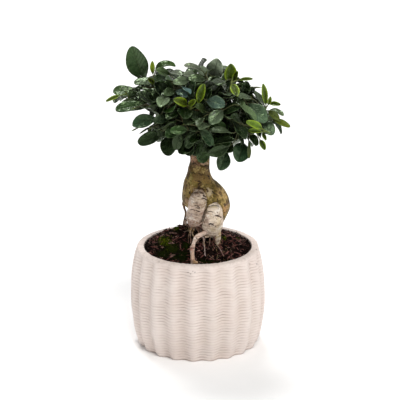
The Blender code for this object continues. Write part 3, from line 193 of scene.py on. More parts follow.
# Young tips: each group is one tip of new growth
SKETCH_TIPS = [
    [(153, 75, 152.5, 61, 5, "y", 0.3), (154, 84, 148, 78, 5, "y", 0.3)],
    [(187, 105, 173.5, 99.5, 9, "y", 0.8), (198, 104, 204, 84, 9, "y", 0.2),
     (189, 106, 196, 100, 6, "y", 0.4)],
    [(229, 84, 230.5, 63.5, 13, "y", 0.3), (233, 83, 237.5, 71, 6, "y", 0.3)],
    [(232, 84, 237, 96.5, 9, "y", 0.4), (238, 80, 252.8, 79, 4, "y", 0.7)],
    [(266, 106, 262.8, 83.5, 6.5, "y", 0.2), (268, 105, 270.5, 96.5, 4.5, "y", 0.3),
     (269, 104, 280.5, 104.8, 5, "y", 1.3)],
    [(263, 129, 246, 121.5, 8, "y", 0.6), (262, 132, 248, 130.5, 5, "y", 0.5)],
    [(259.5, 139, 265, 150, 6, "y", 0.4), (262, 132.5, 266, 140.5, 4, "y", 0.4)],
    [(122, 95, 106, 101.5, 4, "y", 1.1)],
]
# Outline of the crown in the same sketch, which the other leaves stay inside
SKETCH_OUTLINE = [
    (116, 104), (122, 96), (128, 90), (140, 86), (146, 80), (152, 76), (158, 70), (168, 68), (176, 72),
    (186, 70), (200, 66), (210, 64), (222, 64), (232, 70), (240, 80), (249, 86), (256, 92), (262, 100),
    (268, 106), (276, 112), (280, 118), (278, 126), (272, 134), (264, 140), (256, 144), (250, 150),
    (246, 158), (238, 160), (230, 160), (222, 166), (215, 158), (208, 160), (198, 160), (194, 152),
    (180, 152), (176, 146), (170, 152), (162, 150), (160, 142), (150, 140), (146, 134), (152, 128),
    (156, 124), (150, 116), (147, 110), (136, 108), (120, 108),
]


def smoothstep(value, low, high):
    share = min(max((value - low) / (high - low), 0.0), 1.0)
    return share * share * (3 - 2 * share)


def soil_height(x, y):
    """Height of the soil's top, mm: low at the front wall, mounded round the trunk."""
    across = (x - SOIL_CENTRE[0]) / SOIL_SPREAD[0]
    along = (y - SOIL_CENTRE[1]) / (SOIL_SPREAD[1] if y < SOIL_CENTRE[1] else SOIL_SPREAD[2])
    falling = (1 + across * across + along * along) ** -1.3 * (1 - (math.hypot(x, y) / SOIL_WALL) ** 4)
    heap = SOIL_HEAP[2] * math.exp(-((x - SOIL_HEAP[0]) ** 2 + (y - SOIL_HEAP[1]) ** 2) / SOIL_HEAP[3] ** 2)
    rough = 0.9 * math.sin(0.21 * x + 0.4) * math.sin(0.19 * y) + 0.7 * math.sin(0.13 * x - 0.27 * y)
    return SOIL_EDGE + SOIL_MOUND * falling + SOIL_BACK * smoothstep(y, *SOIL_RISE) + heap + rough


def from_sketch(x, y, depth):
    """The point at this place of the sketch whose distance behind the pot's middle is depth, mm."""
    cosine, sine = math.cos(VIEW_TILT), math.sin(VIEW_TILT)
    height = VIEW_AIM[1]
    for _ in range(4):
        nearer = -depth * cosine + (height - VIEW_AIM[1]) * sine
        scale = VIEW_SCALE * VIEW_FROM / (VIEW_FROM - nearer)
        height = VIEW_AIM[1] + ((VIEW_MIDDLE - y) / scale - depth * sine) / cosine
    return np.array((VIEW_AIM[0] + (x - VIEW_MIDDLE) / scale, depth, height))


def to_sketch(points):
    """Sketch x and y of a point, or of many points at once."""
    cosine, sine = math.cos(VIEW_TILT), math.sin(VIEW_TILT)
    nearer = -points[..., 1] * cosine + (points[..., 2] - VIEW_AIM[1]) * sine
    scale = VIEW_SCALE * VIEW_FROM / (VIEW_FROM - nearer)
    up = points[..., 1] * sine + (points[..., 2] - VIEW_AIM[1]) * cosine
    across = VIEW_MIDDLE + scale * (points[..., 0] - VIEW_AIM[0])
    return np.stack([across, VIEW_MIDDLE - scale * up], axis=-1)


VIEW_DIRECTION = np.array((0.0, -math.cos(VIEW_TILT), math.sin(VIEW_TILT)))


def crown_level(point):
    """Below 1 inside the crown's ellipsoid, above 1 outside."""
    return np.sum(((point - CROWN_CENTRE) / CROWN_RADII) ** 2)


def front_depth(x, y, share):
    """Depth at which the line of sight enters the crown's ellipsoid shrunk to this share."""
    best = None
    for depth in np.arange(*CROWN_DEPTHS):
        level = crown_level(from_sketch(x, y, depth))
        if level <= share * share:
            return float(depth)
        if best is None or level < best[0]:
            best = (level, float(depth))
    return best[1]


OUTLINE = np.array(SKETCH_OUTLINE, float)
OUTLINE_NEXT = np.roll(OUTLINE, -1, axis=0)


def inside_outline(point):
    x, y = to_sketch(point)
    (x0, y0), (x1, y1) = OUTLINE.T, OUTLINE_NEXT.T
    crosses = (y0 > y) != (y1 > y)
    rise = np.where(y0 == y1, 1.0, y1 - y0)
    return bool(np.sum(crosses & (x < x0 + (y - y0) / rise * (x1 - x0))) % 2)


def unit(vector):
    return vector / np.linalg.norm(vector)


def square_to(vector, axis):
    return unit(vector - axis * np.dot(vector, axis))


def half_width(share):
    """Half width of a blade at this share of its length, as a share of its greatest."""
    share = min(max(share, 0.0), 1.0)
    return max(math.sin(math.pi * share ** 1.15), 0.0) ** (0.85 - 0.35 * share)


class Leaf:
    """A blade from base to tip with its petiole: all the numbers of one leaf, mm."""

    def __init__(self, base, tip, normal, width, bend, fold, look):
        self.base = base
        self.tip = tip
        self.length = float(np.linalg.norm(tip - base))
        self.along = (tip - base) / self.length
        self.normal = square_to(normal, self.along)
        self.side = np.cross(self.normal, self.along)
        self.width = width
        self.bend = bend
        self.fold = fold
        self.look = look
        self.root = base

    def section(self, share):
        """Middle point, normal and half width at this share of the length."""
        angle = self.bend * (0.5 - share)
        reach = self.length / (2 * math.sin(self.bend / 2))
        middle = (self.base + reach * (math.sin(self.bend / 2) - math.sin(angle)) * self.along
                  + reach * (math.cos(angle) - math.cos(self.bend / 2)) * self.normal)
        normal = math.cos(angle) * self.normal - math.sin(angle) * self.along
        return middle, normal, 0.5 * self.width * half_width(share)

    def petiole_axis(self):
        return unit(self.base - self.root) if np.any(self.base != self.root) else self.along

    def ring(self, point, axis, room):
        """Three corners of the petiole square to the axis, the flat side up."""
        choices = (np.cross(self.normal, axis), self.side - axis * np.dot(self.side, axis))
        side = unit(max(choices, key=lambda c: float(np.dot(c, c))))
        up = np.cross(axis, side)
        r = PETIOLE_RADIUS + room
        left = point + 0.85 * r * side + 0.5 * r * up
        right = point - 0.85 * r * side + 0.5 * r * up
        return [left, right, point - r * up]

    def rows(self):
        large = self.length > LARGE_BLADE[0] and self.width > LARGE_BLADE[1]
        return (0.22, 0.55, 0.84) if large else (0.3, 0.7)

    def solid(self, thick=BLADE_THICK, grow=1.0, petiole=True, room=0.0):
        """Points and faces of the leaf: a three-sided petiole that widens into a folded blade."""
        rows = self.rows()
        grow = grow * (1.08 if len(rows) == 3 else 1.12)
        if petiole:
            start = self.petiole_axis()
            vertices = self.ring(self.root, start, room)
            vertices += self.ring(self.base, unit(start + self.along), room)
            faces = [(0, 1, 2), (0, 3, 4, 1), (1, 4, 5, 2), (2, 5, 3, 0)]
        else:
            vertices = self.ring(self.base, self.along, room)
            faces = [(0, 1, 2)]
        left, right, under = len(vertices) - 3, len(vertices) - 2, len(vertices) - 1
        before = None
        for share in rows:
            middle, normal, half = self.section(share)
            half *= grow
            rise = half * math.sin(self.fold) * normal
            out = half * math.cos(self.fold) * self.side
            line = [middle + out + rise, middle, middle - out + rise]
            now = len(vertices)
            vertices += [p + 0.5 * thick * normal for p in line]
            vertices += [p - 0.5 * thick * normal for p in line]
            if before is None:
                faces += [(left, right, now + 1), (left, now + 1, now), (right, now + 2, now + 1),
                          (under, now + 3, now + 4), (under, now + 4, now + 5),
                          (left, now, now + 3), (left, now + 3, under), (right, now + 5, now + 2),
                          (right, under, now + 5)]
            else:
                for k in (0, 1):
                    faces += [(before + k, before + k + 1, now + k + 1), (before + k, now + k + 1, now + k),
                              (before + 3 + k, now + 4 + k, before + 4 + k),
                              (before + 3 + k, now + 3 + k, now + 4 + k)]
                faces += [(before, now, now + 3), (before, now + 3, before + 3),
                          (before + 2, now + 5, now + 2), (before + 2, before + 5, now + 5)]
            before = now
        end = len(vertices)
        vertices.append(self.section(1.0)[0])
        faces += [(before, before + 1, end), (before + 1, before + 2, end), (before + 3, end, before + 4),
                  (before + 4, end, before + 5), (before, end, before + 3), (before + 2, before + 5, end)]
        return vertices, faces

    def samples(self):
        """Points over the blade, to test what hides it and whether it leaves the outline."""
        found = [self.tip]
        for share in (0.2, 0.5, 0.8):
            middle, _, half = self.section(share)
            found += [middle, middle + 0.8 * half * self.side, middle - 0.8 * half * self.side]
        return found


class Stem:
    """A shoot's green stem, as a curve of points with radii, and the leaves on it."""

    def __init__(self, name, points, radii):
        self.name = name
        self.points = points
        self.radii = radii
        self.leaves = []

    def segment(self, share):
        """Start and step of the piece of curve at this share of the length, and the place on it."""
        place = share * (len(self.points) - 1)
        k = min(int(place), len(self.points) - 2)
        return self.points[k], self.points[k + 1] - self.points[k], place - k

    def at(self, share):
        start, step, part = self.segment(share)
        return start + part * step

    def direction(self, share):
        return unit(self.segment(share)[1])

    def path(self):
        return [(*p, r) for p, r in zip(self.points, self.radii)]


def tube_shape(path, sides, grow=0.0):
    """Points and faces of a tapered tube, for the tests of what touches what."""
    vertices = []
    faces = []
    for (x0, y0, z0, r0), (x1, y1, z1, r1) in zip(path, path[1:]):
        axis = unit(np.array((x1 - x0, y1 - y0, z1 - z0)))
        side = square_to(np.array((0.3, 0.5, 0.8)), axis)
        other = np.cross(axis, side)
        start = len(vertices)
        for centre, radius in ((np.array((x0, y0, z0)), r0 + grow), (np.array((x1, y1, z1)), r1 + grow)):
            for k in range(sides):
                a = 2 * math.pi * k / sides
                vertices.append(centre + radius * (math.cos(a) * side + math.sin(a) * other))
        for k in range(sides):
            n = (k + 1) % sides
            faces.append((start + k, start + n, start + sides + n, start + sides + k))
    return vertices, faces


class Space:
    """What is already placed, as trees of triangles with a ball round each."""

    def __init__(self):
        self.trees = []
        self.centres = np.zeros((0, 3))
        self.reaches = np.zeros(0)
        self.tags = []

    @staticmethod
    def tree(shape):
        vertices, faces = shape
        points = np.array(vertices)
        centre = points.mean(axis=0)
        reach = float(np.max(np.linalg.norm(points - centre, axis=1)))
        return BVHTree.FromPolygons([tuple(v) for v in vertices], faces), centre, reach

    def add(self, shape, tag):
        tree, centre, reach = self.tree(shape)
        self.trees.append(tree)
        self.centres = np.vstack([self.centres, centre])
        self.reaches = np.append(self.reaches, reach)
        self.tags.append(tag)

    def hits(self, shape, skip=()):
        tree, centre, reach = self.tree(shape)
        near = np.nonzero(np.linalg.norm(self.centres - centre, axis=1) < self.reaches + reach)[0]
        return any(self.tags[i] not in skip and tree.overlap(self.trees[i]) for i in near)


def make_stems():
    """The green stems, spread evenly over the crown, and the woody twig that each one sits on."""
    draw = random.Random(SEED + 1)
    ends = []
    for i in range(STEM_COUNT):
        high = 1 - (i + 0.5) / STEM_COUNT * (1 - STEM_LOWEST)
        around = i * GOLDEN + 0.6
        flat = math.sqrt(1 - high * high)
        toward = np.array((flat * math.sin(around), -flat * math.cos(around), high))
        last = CROWN_CENTRE + (STEM_TO + draw.uniform(-0.05, 0.03)) * CROWN_RADII * toward
        ends.append((CROWN_CENTRE + STEM_FROM * CROWN_RADII * toward, last))
    for x, y, depth, from_depth in LOW_STEMS:
        last = from_sketch(x, y, depth)
        heart = np.array((LOW_STEM_HEART[0], from_depth, LOW_STEM_HEART[1]))
        ends.append((last + 0.5 * (heart - last), last))
    runs = [(np.array(a[:3]), np.array(b[:3])) for stub in STUBS for a, b in zip(stub[1:], stub[2:])]
    runs.append(tuple(np.array(end) for end in NECK))
    stems = []
    twigs = []
    for i, (first, last) in enumerate(ends):
        nearest = None
        for a, b in runs:
            share = float(np.clip(np.dot(first - a, b - a) / np.dot(b - a, b - a), 0.0, 0.8))
            foot = a + share * (b - a)
            if nearest is None or np.linalg.norm(first - foot) < np.linalg.norm(first - nearest):
                nearest = foot
        axis = unit(first - nearest)
        middle = first + 0.45 * np.linalg.norm(last - first) * axis
        points = [first]
        for s in STEM_SHARES[1:]:
            points.append((1 - s) ** 2 * first + 2 * s * (1 - s) * middle + s * s * last)
        points[1] = first + float(np.dot(points[1] - first, axis)) * axis
        radii = [STEM_RADIUS[0] + s * (STEM_RADIUS[1] - STEM_RADIUS[0]) for s in STEM_SHARES]
        twigs.append([(*nearest, TWIG_RADIUS[0]), (*(first - GAP * axis), TWIG_RADIUS[1])])
        stems.append(Stem(f"shoot_{i + 1:02d}", points, radii))
    return stems, twigs


def leaf_from_sketch(row, pull=0.0):
    """The leaf that shows as this row of the sketch, moved back by pull, mm."""
    bx, by, tx, ty, wide, look, bend = row
    young = look in "yo"
    tip_depth = front_depth(tx, ty, 0.97) + pull
    flat = np.linalg.norm(from_sketch(tx, ty, tip_depth) - from_sketch(bx, by, tip_depth))
    width = wide / SKETCH_WIDTHS
    slender, least, most = YOUNG_SIZES if young else MATURE_SIZES
    want = max(flat, min(max(slender * width, least), most))
    behind = math.sqrt(max(want * want - flat * flat, 0.0))
    base = from_sketch(bx, by, tip_depth + behind)
    tip = from_sketch(tx, ty, tip_depth)
    along = unit(tip - base)
    true_width = width if young or width < EDGE_ON else max(width, 0.5 * want)
    facing = min(width / true_width, 0.97)
    toward = square_to(VIEW_DIRECTION, along)
    other = np.cross(along, toward)
    spread = math.acos(facing)
    outward = unit((0.5 * (base + tip) - CROWN_CENTRE) / CROWN_RADII) + np.array((0, 0, 0.9))
    choices = [math.cos(spread) * toward + s * math.sin(spread) * other for s in (1, -1)]
    normal = max(choices, key=lambda n: float(np.dot(n, outward)))
    return Leaf(base, tip, normal, true_width, max(bend, 0.05), YOUNG_FOLD if young else LEAF_FOLD, look)


def root_choices(leaf, stems, longest, closest=PETIOLE_SHORTEST):
    """Points on the stems where the leaf's petiole could start, the nearest first."""
    points = np.array([[stem.at(share) for share in ROOT_SHARES] for stem in stems]).reshape(-1, 3)
    toward = leaf.base - points
    reach = np.linalg.norm(toward, axis=1)
    slant = toward @ leaf.along / np.maximum(reach, 1e-6)
    fits = np.nonzero((reach > closest) & (reach < longest) & (slant > -0.2))[0]
    order = fits[np.argsort((reach * (1.5 - 0.5 * slant))[fits], kind="stable")]
    return [(stems[i // len(ROOT_SHARES)], points[i]) for i in order]


def place(leaf, root, stem, space):
    """Puts the leaf on the stem from this point, unless it would touch anything."""
    leaf.root = root
    if space.hits(leaf.solid(BLADE_ROOM, BLADE_GROW, room=PETIOLE_ROOM), (stem.name,)):
        return False
    skip = (stem.name,) if leaf.look == "y" else ()
    if space.hits(leaf.solid(BLADE_ROOM, BLADE_GROW, petiole=False), skip):
        return False
    space.add(leaf.solid(), "leaf")
    stem.leaves.append(leaf)
    return True


def grow_leaves():
    """All stems with their leaves, and the woody twigs."""
    stems, twigs = make_stems()
    space = Space()
    for run in [BULB] + STUBS:
        space.add(tube_shape(run, 8, WOOD_ROOM), "wood")
    for path in twigs:
        space.add(tube_shape(path, 6, TWIG_ROOM), "wood")
    for stem in stems:
        space.add(tube_shape(stem.path(), 6, STEM_ROOM), stem.name)
    tips = grow_tips(stems, space)
    for row in SKETCH_LEAVES:
        place_sketch(row, stems, space, PETIOLE_LONGEST[0])
    heroes = [leaf for stem in stems + tips for leaf in stem.leaves]
    watch = fill_leaves(stems, space, heroes)
    return stems, tips, twigs, space, heroes, watch


def place_sketch(row, stems, space, longest, closest=PETIOLE_SHORTEST):
    """Places the leaf of this row on a stem, as near to the crown's surface as there is room."""
    for pull in SKETCH_PULLS:
        leaf = leaf_from_sketch(row, pull)
        for stem, point in root_choices(leaf, stems, longest, closest)[:SKETCH_ROOTS]:
            if place(leaf, point, stem, space):
                return


def side_start(stem, goal):
    """How far a side shoot has to go from this stem to the goal, and where it starts, clear of the stem."""
    choices = [(math.inf, None)]
    for share in np.linspace(0.35, 1.0, 14):
        toward = goal - stem.at(share)
        far = float(np.linalg.norm(toward))
        toward = toward / far
        along = float(np.dot(toward, stem.direction(share)))
        across = math.sqrt(1 - along * along)
        radius = STEM_FLAT * float(np.interp(share, np.linspace(0, 1, len(stem.radii)), stem.radii))
        if 0.0 <= along < 0.8:
            clear = (radius + GAP + 0.05 + TIP_RADII[0] * along) / across
        elif along >= 0.8 and share == 1.0:
            clear = GAP + 0.05 + TIP_RADII[0] * across
        else:
            continue
        if far - clear > TIP_SHORTEST:
            choices.append((far - clear, tuple(stem.at(share) + clear * toward)))
    return min(choices, key=lambda choice: choice[0])


def grow_tips(stems, space):
    """The tips of new growth: a short side shoot from a stem, with its young leaves."""
    tips = []
    used = set()
    for number, group in enumerate(SKETCH_TIPS):
        leaves = [leaf_from_sketch(row) for row in group]
        centre = sum(leaf.base - 6 * leaf.along for leaf in leaves) / len(leaves)
        free = [stem for stem in stems if stem.name not in used]
        for stem in sorted(free, key=lambda s: side_start(s, centre)[0]):
            start = np.array(side_start(stem, centre)[1])
            reach = centre - start
            rise = 0.06 * np.linalg.norm(reach) * square_to(np.array((0.0, 0.0, 1.0)), unit(reach))
            points = [start + s * reach + 4 * s * (1 - s) * rise for s in (0.0, 0.35, 0.7, 1.0)]
            tip = Stem(f"tip_{number + 1:02d}", points, TIP_RADII)
            shape = tube_shape(tip.path(), 6, STEM_ROOM)
            if not space.hits(shape, (stem.name,)):
                break
        used.add(stem.name)
        space.add(shape, tip.name)
        tips.append(tip)
        for row in group:
            place_sketch(row, [tip], space, PETIOLE_LONGEST[2], YOUNG_SHORTEST)
    return tips


class Cover:
    """What one view of the crown still shows through: cells, open until a leaf lies behind them."""

    def __init__(self, turn, height, cell=COVER_CELL):
        a, e = math.radians(turn), math.radians(height)
        self.toward = np.array((math.sin(a) * math.cos(e), -math.cos(a) * math.cos(e), math.sin(e)))
        self.right = np.array((math.cos(a), math.sin(a), 0.0))
        self.up = np.cross(self.toward, self.right)
        front = (turn, height) == COVER_VIEWS[0]
        self.share = 1.0 if front else COVER_SHARE
        spread = np.arange(-COVER_REACH, COVER_REACH, cell)
        self.cells = []
        for u in spread:
            for v in spread:
                origin = self.origin(u, v)
                if self.reach(origin) is not None and (not front or inside_outline(origin)):
                    self.cells.append((u, v))
        self.cells = np.array(self.cells)
        self.open = np.ones(len(self.cells), bool)

    def origin(self, u, v):
        return CROWN_CENTRE + u * self.right + v * self.up

    def reach(self, origin):
        """How far the line of sight runs inside the crown, from the origin's plane, or None."""
        start = (origin - CROWN_CENTRE) / CROWN_RADII
        step = self.toward / CROWN_RADII
        a, b, c = np.dot(step, step), np.dot(start, step), np.dot(start, start) - self.share ** 2
        inside = b * b - a * c
        return None if inside < 0 else ((-b - math.sqrt(inside)) / a, (-b + math.sqrt(inside)) / a)

    def mark(self, leaf):
        """Closes the cells that the blade stands before."""
        line = [leaf.section(s) for s in (0.1, 0.3, 0.55, 0.8)]
        edge = [leaf.base] + [m + h * leaf.side for m, _, h in line] + [leaf.tip]
        edge += [m - h * leaf.side for m, _, h in reversed(line)]
        away = [point - CROWN_CENTRE for point in edge]
        flat = [(float(np.dot(p, self.right)), float(np.dot(p, self.up))) for p in away]
        inside = np.zeros(len(self.cells), bool)
        for (x0, y0), (x1, y1) in zip(flat, flat[1:] + flat[:1]):
            if y0 == y1:
                continue
            crosses = (y0 > self.cells[:, 1]) != (y1 > self.cells[:, 1])
            inside ^= crosses & (self.cells[:, 0] < x0 + (self.cells[:, 1] - y0) / (y1 - y0) * (x1 - x0))
        self.open &= ~inside

    def leaf_in_gap(self, draw, depths):
        """A leaf drawn for one of the open cells, or None where it can't be had inside the outline."""
        gaps = np.nonzero(self.open)[0]
        if not len(gaps):
            return None
        origin = self.origin(*self.cells[gaps[draw.randrange(len(gaps))]])
        low, high = self.reach(origin)
        centre = origin + (low + (high - low) * draw.uniform(*depths)) * self.toward
        leaf = drawn_leaf(centre, draw)
        return leaf if leaf is not None and all(map(inside_outline, leaf.samples())) else None


def mark_all(views, leaves):
    for view in views:
        for leaf in leaves:
            view.mark(leaf)


def fill_leaves(stems, space, heroes):
    """The other leaves, each for a place where some view looks through. Returns points to keep in sight."""
    draw = random.Random(SEED + 2)
    watch = np.array([point for leaf in heroes for point in leaf.samples()])
    views = [Cover(*view) for view in COVER_VIEWS]
    mark_all(views, heroes)
    made = 0
    for attempt in range(COVER_TRIES):
        if made == LEAF_COUNT:
            break
        leaf = views[attempt % len(views)].leaf_in_gap(draw, COVER_DEPTHS)
        if leaf is None or hides(leaf, watch):
            continue
        for stem, point in root_choices(leaf, stems, PETIOLE_LONGEST[1])[:OTHER_ROOTS]:
            if place(leaf, point, stem, space):
                made += 1
                mark_all(views, [leaf])
                break
    return watch


def jitter(draw):
    return np.array([draw.uniform(-1, 1) for _ in range(3)])


def drawn_leaf(centre, draw):
    """A leaf with its middle here, pointing outwards with some turn, its face up and outwards, or None."""
    outward = unit((centre - CROWN_CENTRE) / CROWN_RADII)
    along = unit(outward + LEAF_TURN * jitter(draw) + np.array(LEAF_DROOP))
    length = draw.uniform(*LEAF_LENGTH)
    base, tip = centre - 0.5 * length * along, centre + 0.5 * length * along
    level, inner = math.sqrt(crown_level(tip)), math.sqrt(crown_level(base))
    if level > OUTERMOST or inner < INNERMOST or inner > level:
        return None
    wish = FACE_OUT * outward + np.array(FACE_UP) + FACE_TURN * jitter(draw)
    if np.linalg.norm(np.cross(wish, along)) < 0.2:
        return None
    width = length * draw.uniform(*LEAF_SLENDER)
    return Leaf(base, tip, wish, width, draw.uniform(*LEAF_BEND), LEAF_FOLD, draw.choice(OTHER_LOOKS))


def hides(leaf, watch):
    """Whether the blade stands between the front view and any watched point."""
    tree, centre, reach = Space.tree(leaf.solid(petiole=False))
    offset = centre - watch
    ahead = offset @ VIEW_DIRECTION
    aside = np.linalg.norm(offset - ahead[:, None] * VIEW_DIRECTION, axis=1)
    for i in np.nonzero((ahead > -reach) & (aside < reach))[0]:
        if tree.ray_cast(Vector(watch[i] + 1.5 * VIEW_DIRECTION), Vector(VIEW_DIRECTION))[0] is not None:
            return True
    return False


# Extra leaves inside the crown, where the coarse model leaves gaps

EXTRA_TRIES = 7000
EXTRA_DEPTHS = (0.1, 0.85)
EXTRA_PULLS = (8, 14, 20, 27, 35, 45)
EXTRA_CELL = 3.4
EXTRA_REACH = 34.0
EXTRA_ROOM = 0.5
EXTRA_CORE = 0.62  # share of an extra blade's width that has to be free: deep in the crown edges may cross
# Leaves of the front sketch that the coarse model has no room for
# Most of them are d: dark leaves that paint the shade in the middle of the crown.
EXTRA_SKETCH = [
    (191, 127, 187.5, 154, 15, "d", 0.4), (180, 124, 183, 150, 13, "d", 0.4),
    (203, 122, 196, 146, 14, "d", 0.4), (196, 84, 187, 92, 12, "b", 0.5), (207, 92, 201, 106, 12, "b", 0.5),
    (196, 110, 206, 118, 12, "g", 0.5), (216, 84, 206, 90, 12, "d", 0.5),
    (238, 122, 246, 136, 12, "d", 0.5), (246, 122, 254, 140, 12, "d", 0.5),
    (236, 138, 232, 152, 12, "d", 0.4), (240, 130, 236, 147, 14, "d", 0.4),
    (187, 138, 190, 156, 13, "d", 0.4), (198, 136, 195, 156, 12, "d", 0.4),
]


def extra_leaves(stems, space, watch):
    """Leaves deep in the crown, drawn for the places where a view still looks through."""
    draw = random.Random(SEED + 3)
    views = [Cover(turn, height, EXTRA_CELL) for turn, height in COVER_VIEWS]
    mark_all(views, [leaf for stem in stems for leaf in stem.leaves])
    for row in EXTRA_SKETCH:
        for pull in EXTRA_PULLS:
            if extra_fits(leaf_from_sketch(row, pull), stems, space, watch):
                break
    for attempt in range(EXTRA_TRIES):
        view = views[0] if attempt % 3 == 0 else views[attempt % len(views)]
        leaf = view.leaf_in_gap(draw, EXTRA_DEPTHS)
        if leaf is not None and extra_fits(leaf, stems, space, watch):
            mark_all(views, [leaf])


def extra_fits(leaf, stems, space, watch):
    """Puts an extra leaf on a stem near by, unless it would hide a sketched leaf or run through others."""
    if hides(leaf, watch):
        return False
    core = leaf.solid(EXTRA_ROOM, EXTRA_CORE, petiole=False)
    for stem, point in root_choices(leaf, stems, EXTRA_REACH)[:OTHER_ROOTS]:
        if not space.hits(core, (stem.name,)):
            leaf.root = point
            space.add(core, "leaf")
            stem.leaves.append(leaf)
            return True
    return False


# Meshes

class Heap:
    """Shapes gathered for one piece, with what its materials read at each point."""

    def __init__(self):
        self.points = []
        self.faces = []
        self.tints = []
        self.floats = {key: [] for key in ("along", "across", "under", "mark")}
        self.slots = []
        self.count = 0

    def add(self, points, faces, tint, slot=0, **floats):
        points = np.asarray(points, float)
        self.points.append(points)
        self.faces += [tuple(i + self.count for i in face) for face in faces]
        self.tints.append(np.broadcast_to(np.asarray(tint, float), (len(points), 3)))
        for key, rows in self.floats.items():
            rows.append(np.broadcast_to(np.asarray(floats.get(key, 0.0), float), (len(points),)))
        self.slots += [slot] * len(faces)
        self.count += len(points)

    def piece(self, name, looks, smooth=True):
        floats = {key: np.concatenate(rows) for key, rows in self.floats.items()}
        return mesh_piece(name, np.concatenate(self.points), self.faces, looks, smooth, floats,
                          np.concatenate(self.tints), self.slots)


def mesh_piece(name, points, faces, looks, smooth=True, floats=None, tint=None, slots=None):
    mesh = bpy.data.meshes.new(name)
    mesh.from_pydata((np.asarray(points) * MM).tolist(), [], faces)
    for look in looks:
        mesh.materials.append(look)
    if slots is not None:
        mesh.polygons.foreach_set("material_index", np.array(slots, np.int32))
    mesh.polygons.foreach_set("use_smooth", np.full(len(mesh.polygons), smooth))
    obj = bpy.data.objects.new(name, mesh)
    bpy.context.scene.collection.objects.link(obj)
    paint(mesh, floats or {}, tint)
    mesh.update()
    return obj


def paint(mesh, floats, tint):
    """Writes the numbers and the colour that the materials read at each point."""
    for key, values in floats.items():
        found = mesh.attributes.new(key, "FLOAT", "POINT")
        found.data.foreach_set("value", np.asarray(values, np.float32))
    if tint is not None:
        rgba = np.ones((len(mesh.vertices), 4), np.float32)
        rgba[:, :3] = tint
        found = mesh.attributes.new("tint", "FLOAT_COLOR", "POINT")
        found.data.foreach_set("color", rgba.ravel())


def smooth_path(rows, per=4):
    """A Catmull-Rom curve through the rows of numbers, with this many steps between each two."""
    rows = np.asarray(rows, float)
    padded = np.vstack([2 * rows[0] - rows[1], rows, 2 * rows[-1] - rows[-2]])
    found = []
    for a, b, c, d in zip(padded, padded[1:], padded[2:], padded[3:]):
        for t in np.arange(per) / per:
            found.append(0.5 * (2 * b + (c - a) * t + (2 * a - 5 * b + 4 * c - d) * t * t
                                + (3 * b - a - 3 * c + d) * t ** 3))
    found.append(rows[-1])
    return np.array(found)


def ring_faces(rings, sides, inward=False):
    """Faces between rings of points and over both ends. They can look to the other side."""
    faces = []
    for a in range(0, (rings - 1) * sides, sides):
        for k in range(sides):
            n = (k + 1) % sides
            left, right, top_right, top_left = a + k, a + n, a + sides + n, a + sides + k
            faces.append((left, top_left, top_right, right) if inward else (left, right, top_right, top_left))
    first, last = tuple(range(sides)), tuple(range((rings - 1) * sides, rings * sides))
    return faces + ([first, last[::-1]] if inward else [first[::-1], last])


def round_tube(path, sides, level=False):
    """Points and faces of a closed tube along rows (x, y, z, radius). Its rings can lie level."""
    path = np.asarray(path, float)
    centres = path[:, :3]
    steps = np.tile((0.0, 0.0, -1.0), (len(centres), 1)) if level else np.gradient(centres, axis=0)
    tangents = steps / np.maximum(np.linalg.norm(steps, axis=1, keepdims=True), 1e-9)
    side = np.array(Vector(tangents[0]).orthogonal().normalized())
    angles = 2 * np.pi * np.arange(sides) / sides
    points = []
    for centre, radius, tangent in zip(centres, path[:, 3], tangents):
        side = side - tangent * np.dot(side, tangent)
        side = side / np.linalg.norm(side)
        other = np.cross(tangent, side)
        ring = np.cos(angles)[:, None] * side + np.sin(angles)[:, None] * other
        points.append(centre + radius * ring)
    return np.concatenate(points), ring_faces(len(path), sides)


# Materials

LEAF_SPECULAR = 0.56
LEAF_SHEEN = (0.70, 1.0, 0.50, 1.0)
LEAF_COAT = (0.08, 0.1)  # weight and roughness
SIDE_VEINS = 9.0
VEIN_SLANT = 2.6


